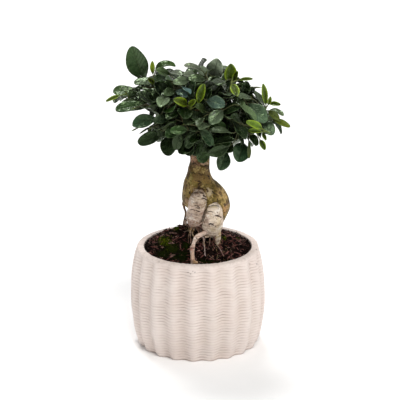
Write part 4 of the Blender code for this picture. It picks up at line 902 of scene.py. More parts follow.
class Look:
    """A procedural material, put together node by node."""

    def __init__(self, name, roughness=0.5, specular=0.5):
        self.material = bpy.data.materials.new(name)
        self.material.use_nodes = True
        self.tree = self.material.node_tree
        self.shader = self.tree.nodes["Principled BSDF"]
        self.shader.inputs["Roughness"].default_value = roughness
        self.shader.inputs["Specular IOR Level"].default_value = specular

    def link(self, source, target):
        if isinstance(source, (int, float)):
            target.default_value = source
        elif isinstance(source, tuple):
            target.default_value = (*source, 1.0)
        else:
            self.tree.links.new(source, target)

    def add(self, kind, settings=None, inputs=None):
        node = self.tree.nodes.new(kind)
        for key, value in (settings or {}).items():
            setattr(node, key, value)
        for key, value in (inputs or {}).items():
            self.link(value, node.inputs[key])
        return node

    def value(self, name):
        return self.add("ShaderNodeAttribute", {"attribute_name": name}).outputs["Fac"]

    def colour(self, name):
        return self.add("ShaderNodeAttribute", {"attribute_name": name}).outputs["Color"]

    def place(self, scale=(1.0, 1.0, 1.0)):
        place = self.add("ShaderNodeTexCoord").outputs["Object"]
        mapping = self.add("ShaderNodeMapping", None, {"Vector": place})
        mapping.inputs["Scale"].default_value = scale
        return mapping.outputs["Vector"]

    def noise(self, scale, detail=3.0, roughness=0.55, stretch=(1.0, 1.0, 1.0)):
        values = {"Vector": self.place(stretch), "Scale": scale, "Detail": detail, "Roughness": roughness}
        return self.add("ShaderNodeTexNoise", None, values).outputs["Fac"]

    def cells(self, scale):
        values = {"Vector": self.place(), "Scale": scale}
        return self.add("ShaderNodeTexVoronoi", None, values).outputs["Distance"]

    def ramp(self, source, low, high, start=0.0, end=1.0):
        made = self.add("ShaderNodeMapRange", {"clamp": True, "interpolation_type": "SMOOTHSTEP"}, {
            "Value": source, "From Min": low, "From Max": high, "To Min": start, "To Max": end})
        return made.outputs["Result"]

    def math(self, operation, *values):
        made = self.add("ShaderNodeMath", {"operation": operation})
        for value, socket in zip(values, made.inputs):
            self.link(value, socket)
        return made.outputs[0]

    def times(self, a, b):
        return self.math("MULTIPLY", a, b)

    def plus(self, a, b):
        return self.math("ADD", a, b)

    def less(self, a, b):
        return self.math("SUBTRACT", a, b)

    def mix(self, fac, a, b, kind="MIX"):
        made = self.add("ShaderNodeMix", {"data_type": "RGBA", "blend_type": kind})
        self.link(fac, made.inputs["Factor"])
        self.link(a, made.inputs["A"])
        self.link(b, made.inputs["B"])
        return made.outputs["Result"]

    def toned(self, share, base, colour):
        """The base, multiplied by the colour as far as the share says."""
        return self.mix(share, base, self.mix(1.0, base, colour, "MULTIPLY"))

    def pits(self, scale, low, high, share, patches):
        """Small round pits, in some patches only."""
        return self.times(self.ramp(self.cells(scale), low, high, share, 0.0), patches)

    def bump(self, height, strength, distance):
        values = {"Height": height, "Strength": strength, "Distance": distance}
        made = self.add("ShaderNodeBump", None, values)
        self.tree.links.new(made.outputs["Normal"], self.shader.inputs["Normal"])

    def paint(self, colour, roughness=None):
        self.tree.links.new(colour, self.shader.inputs["Base Color"])
        if roughness is not None:
            self.tree.links.new(roughness, self.shader.inputs["Roughness"])
        return self.material


def leaf_look(name, gloss, under, vein_tint_and_edge_highlight, vein_share):
    """A blade: tint from the mesh, pale midrib and side veins, a painted highlight along the edge, mottling,
    a duller underside.
    """
    look = Look(name, gloss, LEAF_SPECULAR)
    look.shader.inputs["Specular Tint"].default_value = LEAF_SHEEN
    look.shader.inputs["Coat Weight"].default_value = LEAF_COAT[0]
    look.shader.inputs["Coat Roughness"].default_value = LEAF_COAT[1]
    across = look.math("ABSOLUTE", look.value("across"))
    beneath = look.value("under")
    slant = look.less(look.times(look.value("along"), SIDE_VEINS), look.times(across, VEIN_SLANT))
    rib = look.ramp(look.math("PINGPONG", slant, 0.5), 0.0, 0.11, 1.0, 0.0)
    rib = look.times(rib, look.ramp(across, 0.55, 0.95, 0.4, 0.0))
    vein = look.math("MAXIMUM", look.ramp(across, 0.015, 0.07, 1.0, 0.0), rib)
    mottled = look.noise(160.0, 4.0)
    patch = look.ramp(look.noise(42.0, 2.0), 0.3, 0.7, -0.14, 0.16)
    shade = look.plus(look.ramp(mottled, 0.3, 0.7, 0.78, 1.12), patch)
    grey = look.add("ShaderNodeCombineColor", None, {"Red": shade, "Green": shade, "Blue": shade})
    base = look.mix(1.0, look.colour("tint"), grey.outputs[0], "MULTIPLY")
    base = look.mix(look.times(vein, vein_share), base, vein_tint_and_edge_highlight)
    # Painted highlight: the blade's edge is lightened towards the vein colour.
    base = look.mix(look.times(look.ramp(across, 0.88, 1.0), 0.6), base, vein_tint_and_edge_highlight)
    base = look.mix(look.times(beneath, 0.7), base, under)
    rough = look.plus(look.ramp(mottled, 0.3, 0.7, gloss - 0.05, gloss + 0.08), look.times(beneath, 0.25))
    height = look.plus(look.times(vein, -0.5), look.times(mottled, 0.5))
    look.bump(look.plus(height, look.times(look.noise(62.0, 2.0), 2.6)), 0.85, 0.0022)
    return look.paint(base, rough)


def grained_look(name, roughness, specular, grain, share, colour, strength=0.0, depth=0.0):
    """Tint from the mesh with a grain of a second colour, raised where a strength is given."""
    look = Look(name, roughness, specular)
    made = look.noise(*grain)
    if strength:
        look.bump(made, strength, depth)
    return look.paint(look.mix(look.ramp(made, 0.35, 0.7, 0.0, share), look.colour("tint"), colour))


# Material name, roughness, specular, grain, how far it covers, its colour, strength and depth of its relief
STEM_GRAIN = ("stem_bark", 0.6, 0.3, (420.0, 3.0, 0.6, (1.0, 1.0, 0.4)), 0.55, (0.10, 0.07, 0.035),
              0.4, 0.0005)
CHIP_GRAIN = ("bark_chip", 0.7, 0.08, (380.0, 4.0, 0.65, (1.0, 1.0, 0.5)), 0.7, (0.015, 0.008, 0.006),
              0.6, 0.0008)
MOSS_GRAIN = ("moss_blade", 0.8, 0.04, (190.0, 3.0), 0.6, (0.012, 0.020, 0.003))


def bark_look():
    """Ginseng bark: tint from the mesh, mottled on the bulb, ringed on the legs, with thin dark marks:
    painted shade in the cracks and in the crease between the legs, partly the cracks' own colour.
    """
    look = Look("ficus_bark", 0.62, 0.18)
    leg = look.value("along")
    fine = look.noise(520.0, 4.0, 0.65)
    base = look.colour("tint")
    for blotches, where in ((BARK_BLOTCHES, look.less(1.0, leg)), (LEG_BLOTCHES, leg)):
        for scale, low, high, share, colour in blotches:
            blotch = look.ramp(look.noise(scale, 6.0, 0.66), low, high, 0.0, share)
            base = look.mix(look.times(blotch, where), base, colour)
    base = look.toned(look.ramp(look.noise(70.0, 5.0, 0.6), 0.42, 0.6, 0.0, 0.55), base, (0.62, 0.56, 0.48))
    streak = look.noise(150.0, 4.0, 0.6, (1.0, 1.0, 0.35))
    base = look.toned(look.ramp(streak, 0.5, 0.64, 0.0, 0.5), base, (1.28, 1.3, 1.32))
    rings = look.noise(95.0, 4.0, 0.6, (0.8, 0.8, 6.5))
    ring = look.times(look.ramp(rings, 0.53, 0.6, 0.0, 0.6), look.plus(leg, 0.15))
    base = look.toned(ring, base, (0.55, 0.45, 0.38))
    speck = look.ramp(look.noise(240.0, 3.0, 0.6, (0.5, 0.5, 3.4)), 0.655, 0.675, 0.0, 0.8)
    base = look.mix(speck, base, (0.07, 0.04, 0.022))
    base = look.toned(look.ramp(fine, 0.35, 0.7, 0.0, 0.35), base, (0.5, 0.45, 0.4))
    pit = look.pits(300.0, 0.05, 0.09, 0.7, look.ramp(look.noise(80.0, 2.0), 0.52, 0.6))
    base = look.mix(pit, base, (0.06, 0.035, 0.015))
    # Painted shade along the marks: in the cracks and in the crease between the legs.
    edge = look.plus(look.value("mark"), look.ramp(look.noise(230.0, 5.0, 0.7), 0.3, 0.7, -0.3, 0.35))
    line = look.times(look.ramp(edge, 0.0, 0.36, 1.0, 0.0), look.value("across"))
    base = look.mix(line, base, (0.022, 0.012, 0.008))
    height = look.plus(look.times(fine, 0.6), look.times(rings, 1.1))
    height = look.less(height, look.times(speck, 0.6))
    look.bump(look.less(height, look.plus(line, pit)), 0.75, 0.0018)
    return look.paint(base, look.ramp(fine, 0.3, 0.7, 0.45, 0.75))


BARK_BLOTCHES = [  # noise scale, where it begins and is full, share, colour of the mottling on the bulb
    (62.0, 0.50, 0.57, 0.75, (0.130, 0.095, 0.014)), (95.0, 0.53, 0.59, 0.85, (0.100, 0.046, 0.018)),
    (120.0, 0.54, 0.61, 0.75, (0.52, 0.38, 0.15)), (190.0, 0.56, 0.61, 0.85, (0.036, 0.026, 0.007)),
    (330.0, 0.58, 0.62, 0.85, (0.026, 0.015, 0.006)), (45.0, 0.56, 0.66, 0.5, (0.60, 0.42, 0.13)),
]
LEG_BLOTCHES = [
    (60.0, 0.53, 0.61, 0.5, (0.46, 0.33, 0.27)), (105.0, 0.53, 0.60, 0.6, (0.95, 0.88, 0.79)),
    (150.0, 0.56, 0.60, 0.65, (0.32, 0.215, 0.17)),
]


def clay_look():
    """Matt cream clay: pinkish, a little stained in the valleys, with painted shade in the grooves under the
    cords, and small pits.
    """
    look = Look("pot_clay_matt", 0.7, 0.3)
    base = look.mix(look.ramp(look.noise(26.0, 4.0, 0.55), 0.3, 0.7), *CLAY_TONES)
    base = look.mix(look.times(look.value("along"), 0.16), base, CLAY_VALLEY)
    # Painted shade in the grooves under the cords.
    base = look.mix(look.times(look.value("across"), 0.4), base, CLAY_GROOVE_SHADE)
    stain = look.ramp(look.noise(9.0, 5.0, 0.65, (1.0, 1.0, 0.45)), 0.55, 0.75, 0.0, 0.25)
    base = look.mix(stain, base, CLAY_STAIN)
    rough = look.times(look.value("under"), look.ramp(look.noise(240.0, 4.0, 0.7), 0.46, 0.6, 0.0, 0.75))
    base = look.mix(rough, base, CLAY_WORN)
    pit = look.pits(330.0, 0.035, 0.06, 0.35, look.ramp(look.noise(60.0, 1.0), 0.5, 0.6))
    base = look.mix(pit, base, CLAY_PIT)
    base = look.mix(look.value("mark"), base, CLAY_HOLE)
    look.bump(look.less(look.noise(900.0, 3.0, 0.6), look.plus(pit, rough)), 0.4, 0.0006)
    return look.paint(base)


CLAY_TONES = [(0.755, 0.65, 0.597), (0.805, 0.715, 0.668)]
CLAY_VALLEY = (0.50, 0.40, 0.33)
CLAY_GROOVE_SHADE = (0.45, 0.34, 0.30)
CLAY_STAIN = (0.60, 0.51, 0.42)
CLAY_WORN = (0.52, 0.43, 0.38)
CLAY_PIT = (0.30, 0.22, 0.17)
CLAY_HOLE = (0.09, 0.06, 0.045)


def soil_look():
    look = Look("soil_crumb", 0.95, 0.03)
    crumb = look.noise(420.0, 5.0, 0.7)
    light = look.ramp(crumb, 0.35, 0.7)
    base = look.mix(light, *SOIL_TONES)
    base = look.mix(look.ramp(look.noise(60.0, 3.0), 0.45, 0.7, 0.0, 0.6), base, SOIL_PATCH)
    base = look.mix(look.value("under"), base, look.mix(light, *MOSSY_TONES))
    look.bump(crumb, 0.9, 0.0018)
    return look.paint(base)


SOIL_TONES = [(0.001, 0.0007, 0.0006), (0.015, 0.008, 0.006)]
SOIL_PATCH = (0.016, 0.008, 0.006)
MOSSY_TONES = [(0.002, 0.003, 0.0005), (0.012, 0.016, 0.002)]


def floor_look():
    look = Look("floor_paper", 0.9, 0.1)
    grain = look.noise(40.0, 3.0)
    return look.paint(look.mix(look.ramp(grain, 0.3, 0.7), (0.94, 0.94, 0.94), (0.95, 0.95, 0.95)))


# Pot

CORD_PITCH = 3.7
CORD_FIRST = 1.2
CORD_LAST = 121.0
CORD_DEPTH = 0.9
RIM_STAIN = 0.5
CORD_SAMPLES = (0.0, 0.12, 0.3, 0.5, 0.7, 0.88)
CORD_GROOVE = 0.16  # share of the pitch that a groove takes
POT_COLUMNS = 360
POT_FOOT = (0.6, 40.0, 70.0, 71.5)
POT_RIM = [(123.4, 74.2), (124.6, 72.2), (125.0, 69.8), (125.0, 67.8), (124.8, 66.6), (124.0, 65.9),
           (122.0, 65.8), (113.0, 65.8), (100.0, 68.4)]
POT_INSIDE = [(58.0, 71.0), (14.0, 64.0), (12.0, 62.0), (12.0, 0.6)]
RIBBED_RADIUS = 69.5  # the ribs end where the lip turns in
INNER_ROWS = 6
PIT_SPREAD = 0.32
PIT_DEPTH = 0.9
POT_PITS = [
    (188, 272.5), (195, 272.5), (256.5, 249.5), (250, 264), (257, 264), (159, 262), (190.5, 274),
    (193, 271.5),
]


def pot_profile():
    """Rows (height, radius, place in its cord or -1) up the outside, over the lip and down the inside."""
    heights, radii = smooth_path(POT_OUTER, 12).T
    rows = [(0.0, radius, -1.0) for radius in POT_FOOT]
    level = CORD_FIRST
    while level < CORD_LAST:
        for part in CORD_SAMPLES:
            z = level + part * CORD_PITCH
            if z < CORD_LAST:
                rows.append((z, float(np.interp(z, heights, radii)), part))
        level += CORD_PITCH
    lip = smooth_path([(CORD_LAST, float(np.interp(CORD_LAST, heights, radii)))] + POT_RIM, 4)
    return rows + [(z, r, -1.0) for z, r in list(lip) + POT_INSIDE]


def round_noise(angles, scale, level):
    """Smooth noise at many angles round the pot."""
    return np.array([noise.noise(Vector((scale * math.sin(a), scale * math.cos(a), level))) for a in angles])


def make_pot(look):
    rows = pot_profile()
    angles = RIB_TURN + 2 * math.pi * np.arange(POT_COLUMNS) / POT_COLUMNS
    wave = 0.5 - 0.5 * np.cos(POT_RIBS * (angles - RIB_TURN))
    none = np.zeros(POT_COLUMNS)
    points, stain, groove, lip = [], [], [], []
    for i, (height, radius, part) in enumerate(rows):
        fade = 1 - smoothstep(height, *RIB_FADE)
        ribbed = radius > RIBBED_RADIUS and i < len(rows) - INNER_ROWS
        flow = round_noise(angles, 9, 0.11 * height + 7)
        inward, wobble, dip, line, lift = none, none, none, none, none
        if ribbed:
            inward = RIB_DEPTH * wave * fade
            wobble = 0.35 * round_noise(angles, 2.2, 0.05 * height)
        if part >= 0:
            strength = (0.55 + 0.45 * np.clip(wave * 2.0, 0, 1)) * (1 + 0.9 * flow)
            strength = strength * (1 - 0.4 * smoothstep(height, 112.0, CORD_LAST))
            dip = CORD_DEPTH * strength * (1 - math.sqrt(max(1 - (2 * part - 1) ** 2, 0.0)))
            # line: painted shade along the groove under each cord, read by the clay as across
            line = strength * max(1 - part / CORD_GROOVE, 1 - (1 - part) / CORD_GROOVE, 0.0)
        if part >= 0 and 5 < height < CORD_LAST - 4:
            lift = 0.6 * flow + 0.65 * wave * fade
        if height > CORD_LAST + 0.5:
            lift = 0.3 * flow + 0.45 * round_noise(angles, 24, 0.8 * height)
        reach = radius - inward - dip + wobble
        points.append(np.stack([reach * np.sin(angles), -reach * np.cos(angles), height + lift], axis=1))
        rim = RIM_STAIN * smoothstep(height, 120.5, 123.0) * (1 + 0.8 * flow)
        stain.append(np.maximum(np.clip(1.5 * wave - 0.4, 0, 1) * fade if ribbed else none, rim))
        groove.append(line)
        lip.append(rim)
    points = np.concatenate(points)
    mark = np.zeros(len(points))
    seen = to_sketch(points)
    front = (points[:, 1] < -5) & (points[:, 2] > 60)
    for x, y in POT_PITS:
        close = np.exp(-(((seen[:, 0] - x) ** 2 + (seen[:, 1] - y) ** 2) / PIT_SPREAD)) * front
        mark = np.maximum(mark, 0.8 * close)
        radii = np.linalg.norm(points[:, :2] + 1e-6, axis=1)[:, None]
        points[:, :2] -= PIT_DEPTH * close[:, None] * points[:, :2] / radii
    floats = {"along": np.concatenate(stain), "across": np.concatenate(groove), "under": np.concatenate(lip)}
    floats["mark"] = mark
    return mesh_piece("pot_fluted", points, ring_faces(len(rows), POT_COLUMNS), [look], True, floats)


# Soil

SOIL_COLUMNS = 220
SOIL_STEPS = 62
SOIL_REACH = 65.0
SOIL_CRUMBS = 2.4
SOIL_UNDERSIDE = 100.0
WALL_FROM = 56.0  # outside this radius the soil runs over to the level of its edge
CRUMB_COUNT = 1900
CRUMB_REACH = 63.5
CRUMB_SIZES = ((4.0, 14.0), (0.9, 2.3), (0.8, 1.8))
MOSS_COUNT = 3600
MOSS_REACH = 64.3
MOSS_DARK = (0.002, 0.004, 0.0005)
MOSS_GLOW = (0.070, 0.088, 0.002)
MOSS_FACES = [(0, 1, 3), (1, 2, 3), (2, 0, 3), (2, 1, 0)]
CHIP_TINTS = [
    (0.150, 0.058, 0.048), (0.240, 0.100, 0.086), (0.008, 0.004, 0.003), (0.300, 0.180, 0.150),
    (0.110, 0.032, 0.027), (0.004, 0.002, 0.001), (0.004, 0.002, 0.001), (0.018, 0.008, 0.006),
]
MOSS_SPOTS = [
    (165, 241.5, 9.5, 7.0, 1.0), (172, 249, 10.0, 6.0, 0.3), (181, 256, 12.0, 7.0, 0.05),
    (163, 254, 8.0, 5.0, 0.12), (176, 229, 4.5, 4.0, 0.8), (224, 238.5, 3.4, 2.6, 1.0),
    (237.5, 239.5, 3.0, 1.6, 0.7), (206, 262, 14.0, 3.0, 0.1), (186, 246, 5.0, 6.0, 0.15),
]


def soil_level(x, y):
    """Height of the fine soil, with its crumbs, mm."""
    radius = math.hypot(x, y)
    base = soil_height(x, y)
    if radius > WALL_FROM:
        probe = soil_height(x * SOIL_EDGE_PROBE / radius, y * SOIL_EDGE_PROBE / radius) - 1.0
        edge = min(probe + 2.0, SOIL_HIGHEST_EDGE + SOIL_CRUMBS)
        base += (edge - base) * smoothstep(radius, WALL_FROM, SOIL_REACH)
    rough = 1.5 * noise.noise(Vector((0.16 * x, 0.16 * y, 0.0)))
    rough += 2.0 * noise.noise(Vector((0.42 * x, 0.42 * y, 3.0)))
    return base + rough + 0.7 * noise.noise(Vector((0.95 * x, 0.95 * y, 5.0)))


def on_soil(x, y):
    """The point of the soil that shows at this place of the sketch."""
    for depth in np.arange(-SOIL_WALL, SOIL_WALL, 0.5):
        point = from_sketch(x, y, depth)
        if math.hypot(point[0], point[1]) < SOIL_WALL and point[2] <= soil_level(point[0], point[1]):
            return point
    return from_sketch(x, y, 30.0)


def spot_level(seen, x, y, wide, tall):
    """0 at the middle of an oval spot of the sketch, 1 at its edge."""
    return ((seen[:, 0] - x) / wide) ** 2 + ((seen[:, 1] - y) / tall) ** 2


def mossy(points):
    """How mossy each point of the soil is."""
    seen = to_sketch(points)
    much = np.zeros(len(points))
    for x, y, wide, tall, _ in MOSS_SPOTS:
        much = np.maximum(much, np.exp(-spot_level(seen, x, y, wide, tall) * 1.6))
    return much


def make_soil(look):
    points = []
    for share in np.linspace(0.012, 1.0, SOIL_STEPS):
        for angle in 2 * math.pi * np.arange(SOIL_COLUMNS) / SOIL_COLUMNS:
            x, y = share * SOIL_REACH * math.sin(angle), -share * SOIL_REACH * math.cos(angle)
            points.append((x, y, soil_level(x, y)))
    under = np.array(points[-SOIL_COLUMNS:])
    under[:, 2] = SOIL_UNDERSIDE
    points = np.concatenate([np.array(points), under])
    faces = ring_faces(SOIL_STEPS + 1, SOIL_COLUMNS, True)
    return mesh_piece("soil_bed", points, faces, [look], True, {"under": np.clip(mossy(points) * 1.3, 0, 1)})


def rock(draw, centre, size, spin, lean):
    """A small broken chip: a jittered ball pulled long and flat."""
    bm = bmesh.new()
    bmesh.ops.create_icosphere(bm, subdivisions=1, radius=0.5)
    points = np.array([tuple(v.co) for v in bm.verts])
    faces = [tuple(v.index for v in f.verts) for f in bm.faces]
    bm.free()
    points = points * (1 + np.array([[draw.uniform(-0.22, 0.22) for _ in range(3)] for _ in points])) * size
    turned = Matrix.Rotation(spin, 3, "Z") @ Matrix.Rotation(lean[0], 3, "X")
    turned = turned @ Matrix.Rotation(lean[1], 3, "Y")
    return points @ np.array(turned).T + centre, faces


def make_chips(look):
    """Bark chips and crumbs, the last of them smaller. Few lie on the moss and none in the wall."""
    draw = random.Random(SEED + 5)
    heap = Heap()
    for made in range(CRUMB_COUNT):
        angle = draw.uniform(0, 2 * math.pi)
        reach = CRUMB_REACH * math.sqrt(draw.uniform(0.0, 1.0))
        x, y = reach * math.sin(angle), -reach * math.cos(angle)
        size = np.array([draw.uniform(*sizes) for sizes in CRUMB_SIZES])
        if made > 0.7 * CRUMB_COUNT:
            size = size * 0.5
        lean = (draw.uniform(-0.7, 0.7), draw.uniform(-0.7, 0.7))
        spin = draw.uniform(0, math.pi)
        tint = np.array(CHIP_TINTS[draw.randrange(len(CHIP_TINTS))]) * draw.uniform(0.6, 1.3)
        if reach + 0.5 * size[0] > CRUMB_REACH + 1.0:
            continue
        centre = np.array((x, y, soil_level(x, y) + draw.uniform(-0.2, 1.1)))
        if mossy(centre[None, :])[0] > 0.4 and draw.random() < 0.85:
            continue
        heap.add(*rock(draw, centre, size, spin, lean), tint)
    return heap.piece("soil_chips", [look], False)


def make_moss(look):
    draw = random.Random(SEED + 6)
    heap = Heap()
    for x, y, wide, tall, light in MOSS_SPOTS:
        for _ in range(int(MOSS_COUNT * wide * tall / 330.0)):
            turn = draw.uniform(0, 2 * math.pi)
            reach = draw.gauss(0, 0.42)
            place = on_moss(x + wide * reach * math.cos(turn), y + tall * reach * math.sin(turn))
            if place is None:
                continue
            height = draw.uniform(0.9, 2.6) * (0.7 + 0.5 * light)
            lean = np.array((draw.uniform(-0.6, 0.6), draw.uniform(-0.6, 0.6), 1.0))
            top = place + height * lean / np.linalg.norm(lean)
            side = np.array((math.cos(turn), math.sin(turn), 0.0)) * draw.uniform(0.25, 0.5)
            other = np.array((-side[1], side[0], 0.0))
            base = place - np.array((0, 0, 0.5))
            points = [base + side, base - 0.5 * side + other, base - 0.5 * side - other, top]
            glow = light * (0.05 + 2.4 * draw.random() ** 2)
            heap.add(points, MOSS_FACES, np.array(MOSS_DARK) + glow * np.array(MOSS_GLOW))
    return heap.piece("moss_tufts", [look], True)


SOIL_CACHE = {}


def on_moss(x, y):
    """A point of the soil near this place of the sketch, from a coarse search that is kept."""
    key = (round(x * 2), round(y * 2))
    if key not in SOIL_CACHE:
        SOIL_CACHE[key] = on_soil(key[0] / 2, key[1] / 2)
    point = SOIL_CACHE[key] + np.array((0.3 * (x * 2 - key[0]), 0.8 * (y * 2 - key[1]), 0.0))
    if math.hypot(point[0], point[1]) > MOSS_REACH:
        return None
    point[2] = soil_level(point[0], point[1])
    return point


# Rootstock

TRUNK_SKIN = (0.9, 6)  # fineness of the skin, mm, and rounds of smoothing
LEG_SKIN = (0.6, 3)
MARK_FAR = 3.0
FAR = 1e9
LEG_RELIEF = (0.75 * 1.5, 0.34)  # depths of lumps and of ripples, mm
BODY_RELIEF = (0.75, 0.12)
HANGING_ROOT = (1.1, 0.72)  # how far a thin root wobbles, mm, and its thickness
STANDING_ROOT = (0.4, 0.95)
WOBBLE_OFFSETS = (0.0, 31.7, 67.3)  # apart in the noise, for x, y and z
BODY_ZONES = [
    ([BULB[5:]], (0.285, 0.182, 0.050)), ([BULB[:6]], (0.115, 0.066, 0.016)), (STUBS, (0.16, 0.105, 0.05)),
]
# Legs in the front sketch: rows of x, y, depth in mm and half width in sketch units, and a colour
LEGS = [
    ([[(199.8, 195.4, -15, 6.2), (199.3, 196.6, -17.5, 8.2), (198.4, 201, -19, 9.4),
     (197.3, 206, -19, 9.7), (196.2, 211, -16.5, 9.6), (195.0, 216, -12.5, 8.9), (194.6, 220.5, -8, 7.9),
     (194.6, 224, -4, 5.8), (195.4, 226, 0, 3.6)]], (0.64, 0.50, 0.40)),
    ([[(195.2, 219, 2, 5.0), (196.4, 226, -1, 4.6), (196.4, 231, 3, 4.8), (195.5, 240, 6, 4.8)],
     [(203.5, 216, -4, 3.4), (202.5, 223, -7, 3.2), (201.5, 231, -5, 3.0), (201.5, 240, -4, 3.0)]],
     (0.115, 0.065, 0.048)),
    ([[(213.6, 208.4, -15, 6.6), (213.8, 209.6, -18, 8.3), (213.8, 213.5, -20, 9.1),
     (213.2, 218, -19.5, 10.1), (212.6, 222.5, -16, 10.7), (212.3, 226.5, -12, 10.3), (212.2, 230, -8, 8.6),
     (212.0, 233.0, -5, 6.2)], [(211.6, 231, -4, 6.0), (210.6, 238, 0, 5.2), (210, 246, 0, 5.2)]],
     (0.85, 0.72, 0.58)),
    ([[(215.6, 226.5, -12, 4.4), (217.4, 232, -15, 3.7), (217.7, 237, -15.5, 3.3), (217.2, 241, -15, 3.0),
     (217.0, 247, -14.5, 2.5)]], (0.66, 0.54, 0.36)),
    ([[(211.0, 229.8, -16, 2.6), (206.2, 232.2, -20.5, 2.6), (201.0, 234.8, -23.5, 2.55),
     (197.2, 236.9, -26, 2.5), (194.9, 239.8, -29, 2.4), (193.4, 244.2, -32, 2.3), (192.5, 248.6, -35, 2.6),
     (192.4, 253.0, -38, 2.05), (192.6, 257.4, -40.5, 2.2), (192.9, 261.0, -42.5, 2.5),
     (192.8, 268, -42, 2.2)], [(192.6, 261.2, -42.5, 2.3), (195.2, 262.3, -44, 2.1),
     (198.4, 262.4, -44.5, 1.3)]], (0.72, 0.55, 0.46)),
]
# Cracks, pits and lips of the bark, and the crease between the legs, in the front sketch: depth in mm, width
# in sketch units, darkness of the line painted in them (painted shade, partly the cracks' own colour), line
MARKS = [
    (0.5, 0.6, 0.8, [(199.5, 164.8), (202.5, 166.2), (205.5, 165.4), (208.5, 166.2)]),
    (0.4, 0.5, 0.6, [(192, 160), (194, 163.5), (196, 163)]), (0.4, 0.5, 0.5, [(206, 169), (209, 168)]),
    (0.9, 0.7, 0.75, [(190.5, 195.5), (192, 193.3), (195, 192.2), (198, 191.8), (201.5, 192.4)]),
    (1.0, 0.7, 1.0, [(201.5, 192.2), (204, 193.6)]), (1.0, 0.8, 1.0, [(203.5, 195.2), (206, 196.6)]),
    (0.9, 0.7, 0.8, [(203, 197.8), (205.5, 199), (207.6, 199.8)]), (1.2, 0.8, 0.6, [(207.8, 200.5),
    (206.9, 206), (205.0, 212), (203.2, 219), (201, 226)]), (1.0, 0.9, 0.6, [(208.5, 206.5), (211, 205),
    (216, 205), (219, 206)]), (0.6, 0.5, 0.95, [(194.5, 205.2), (197.5, 205.8), (200, 207.8)]),
    (0.4, 0.4, 0.6, [(196, 207.3), (199, 208.5)]), (0.6, 0.5, 0.9, [(190, 209.5), (193.5, 209.8),
    (195.5, 210.8), (200, 211.9)]), (0.3, 0.4, 0.4, [(192, 202), (196, 202.8), (200, 203.2)]),
    (0.3, 0.4, 0.4, [(188.5, 213), (192, 214), (199, 216)]), (0.5, 0.5, 0.85, [(207.5, 211.6),
    (210.5, 211.3), (212.5, 211.9)]), (0.7, 0.6, 0.95, [(215.5, 215.2), (219, 216.2), (221.3, 217.6)]),
    (0.5, 0.5, 0.8, [(205.3, 220), (206, 220.3)]), (0.6, 0.5, 0.9, [(209, 224.6), (211.5, 223.6),
    (213.5, 225.2)]), (0.5, 0.5, 0.8, [(215.2, 226.5), (216, 226.8)]), (0.4, 0.4, 0.7, [(216, 218),
    (216.4, 219.2)]), (0.4, 0.4, 0.6, [(210.3, 216), (211, 216.4)]), (0.4, 0.5, 0.6, [(213, 217.5),
    (213.6, 217)]), (0.5, 0.6, 0.6, [(213, 191.5), (213.4, 192.6)]), (0.5, 0.6, 0.7, [(213.4, 195.6),
    (213.8, 196.8)]), (0.5, 0.5, 0.5, [(219, 198), (219.5, 198.4)]), (0.6, 0.6, 0.6, [(216.3, 203.4),
    (217.5, 203.8)]), (0.4, 0.5, 0.5, [(211, 182.4), (211.6, 183)]), (0.4, 0.5, 0.5, [(213, 188),
    (213.5, 188.3)]), (0.6, 0.7, 0.5, [(200.5, 173.5), (201.5, 175.5), (203, 174)]),
    (0.5, 0.6, 0.6, [(198, 181.5), (200.5, 181), (201, 183)]), (0.5, 0.5, 0.5, [(190, 166), (191, 168)]),
    (0.8, 0.8, 0.6, [(187.5, 233), (187, 228)]), (0.5, 0.4, 0.7, [(195.8, 237.2), (197.3, 239.5)]),
    (0.4, 0.6, 0.5, [(191, 247.6), (194.5, 248.8)]), (-0.5, 1.0, 0.0, [(191, 191.8), (196, 190),
    (201, 190.2)]), (-0.5, 1.0, 0.0, [(204, 200.8), (201, 199.5), (197, 196)]),
]
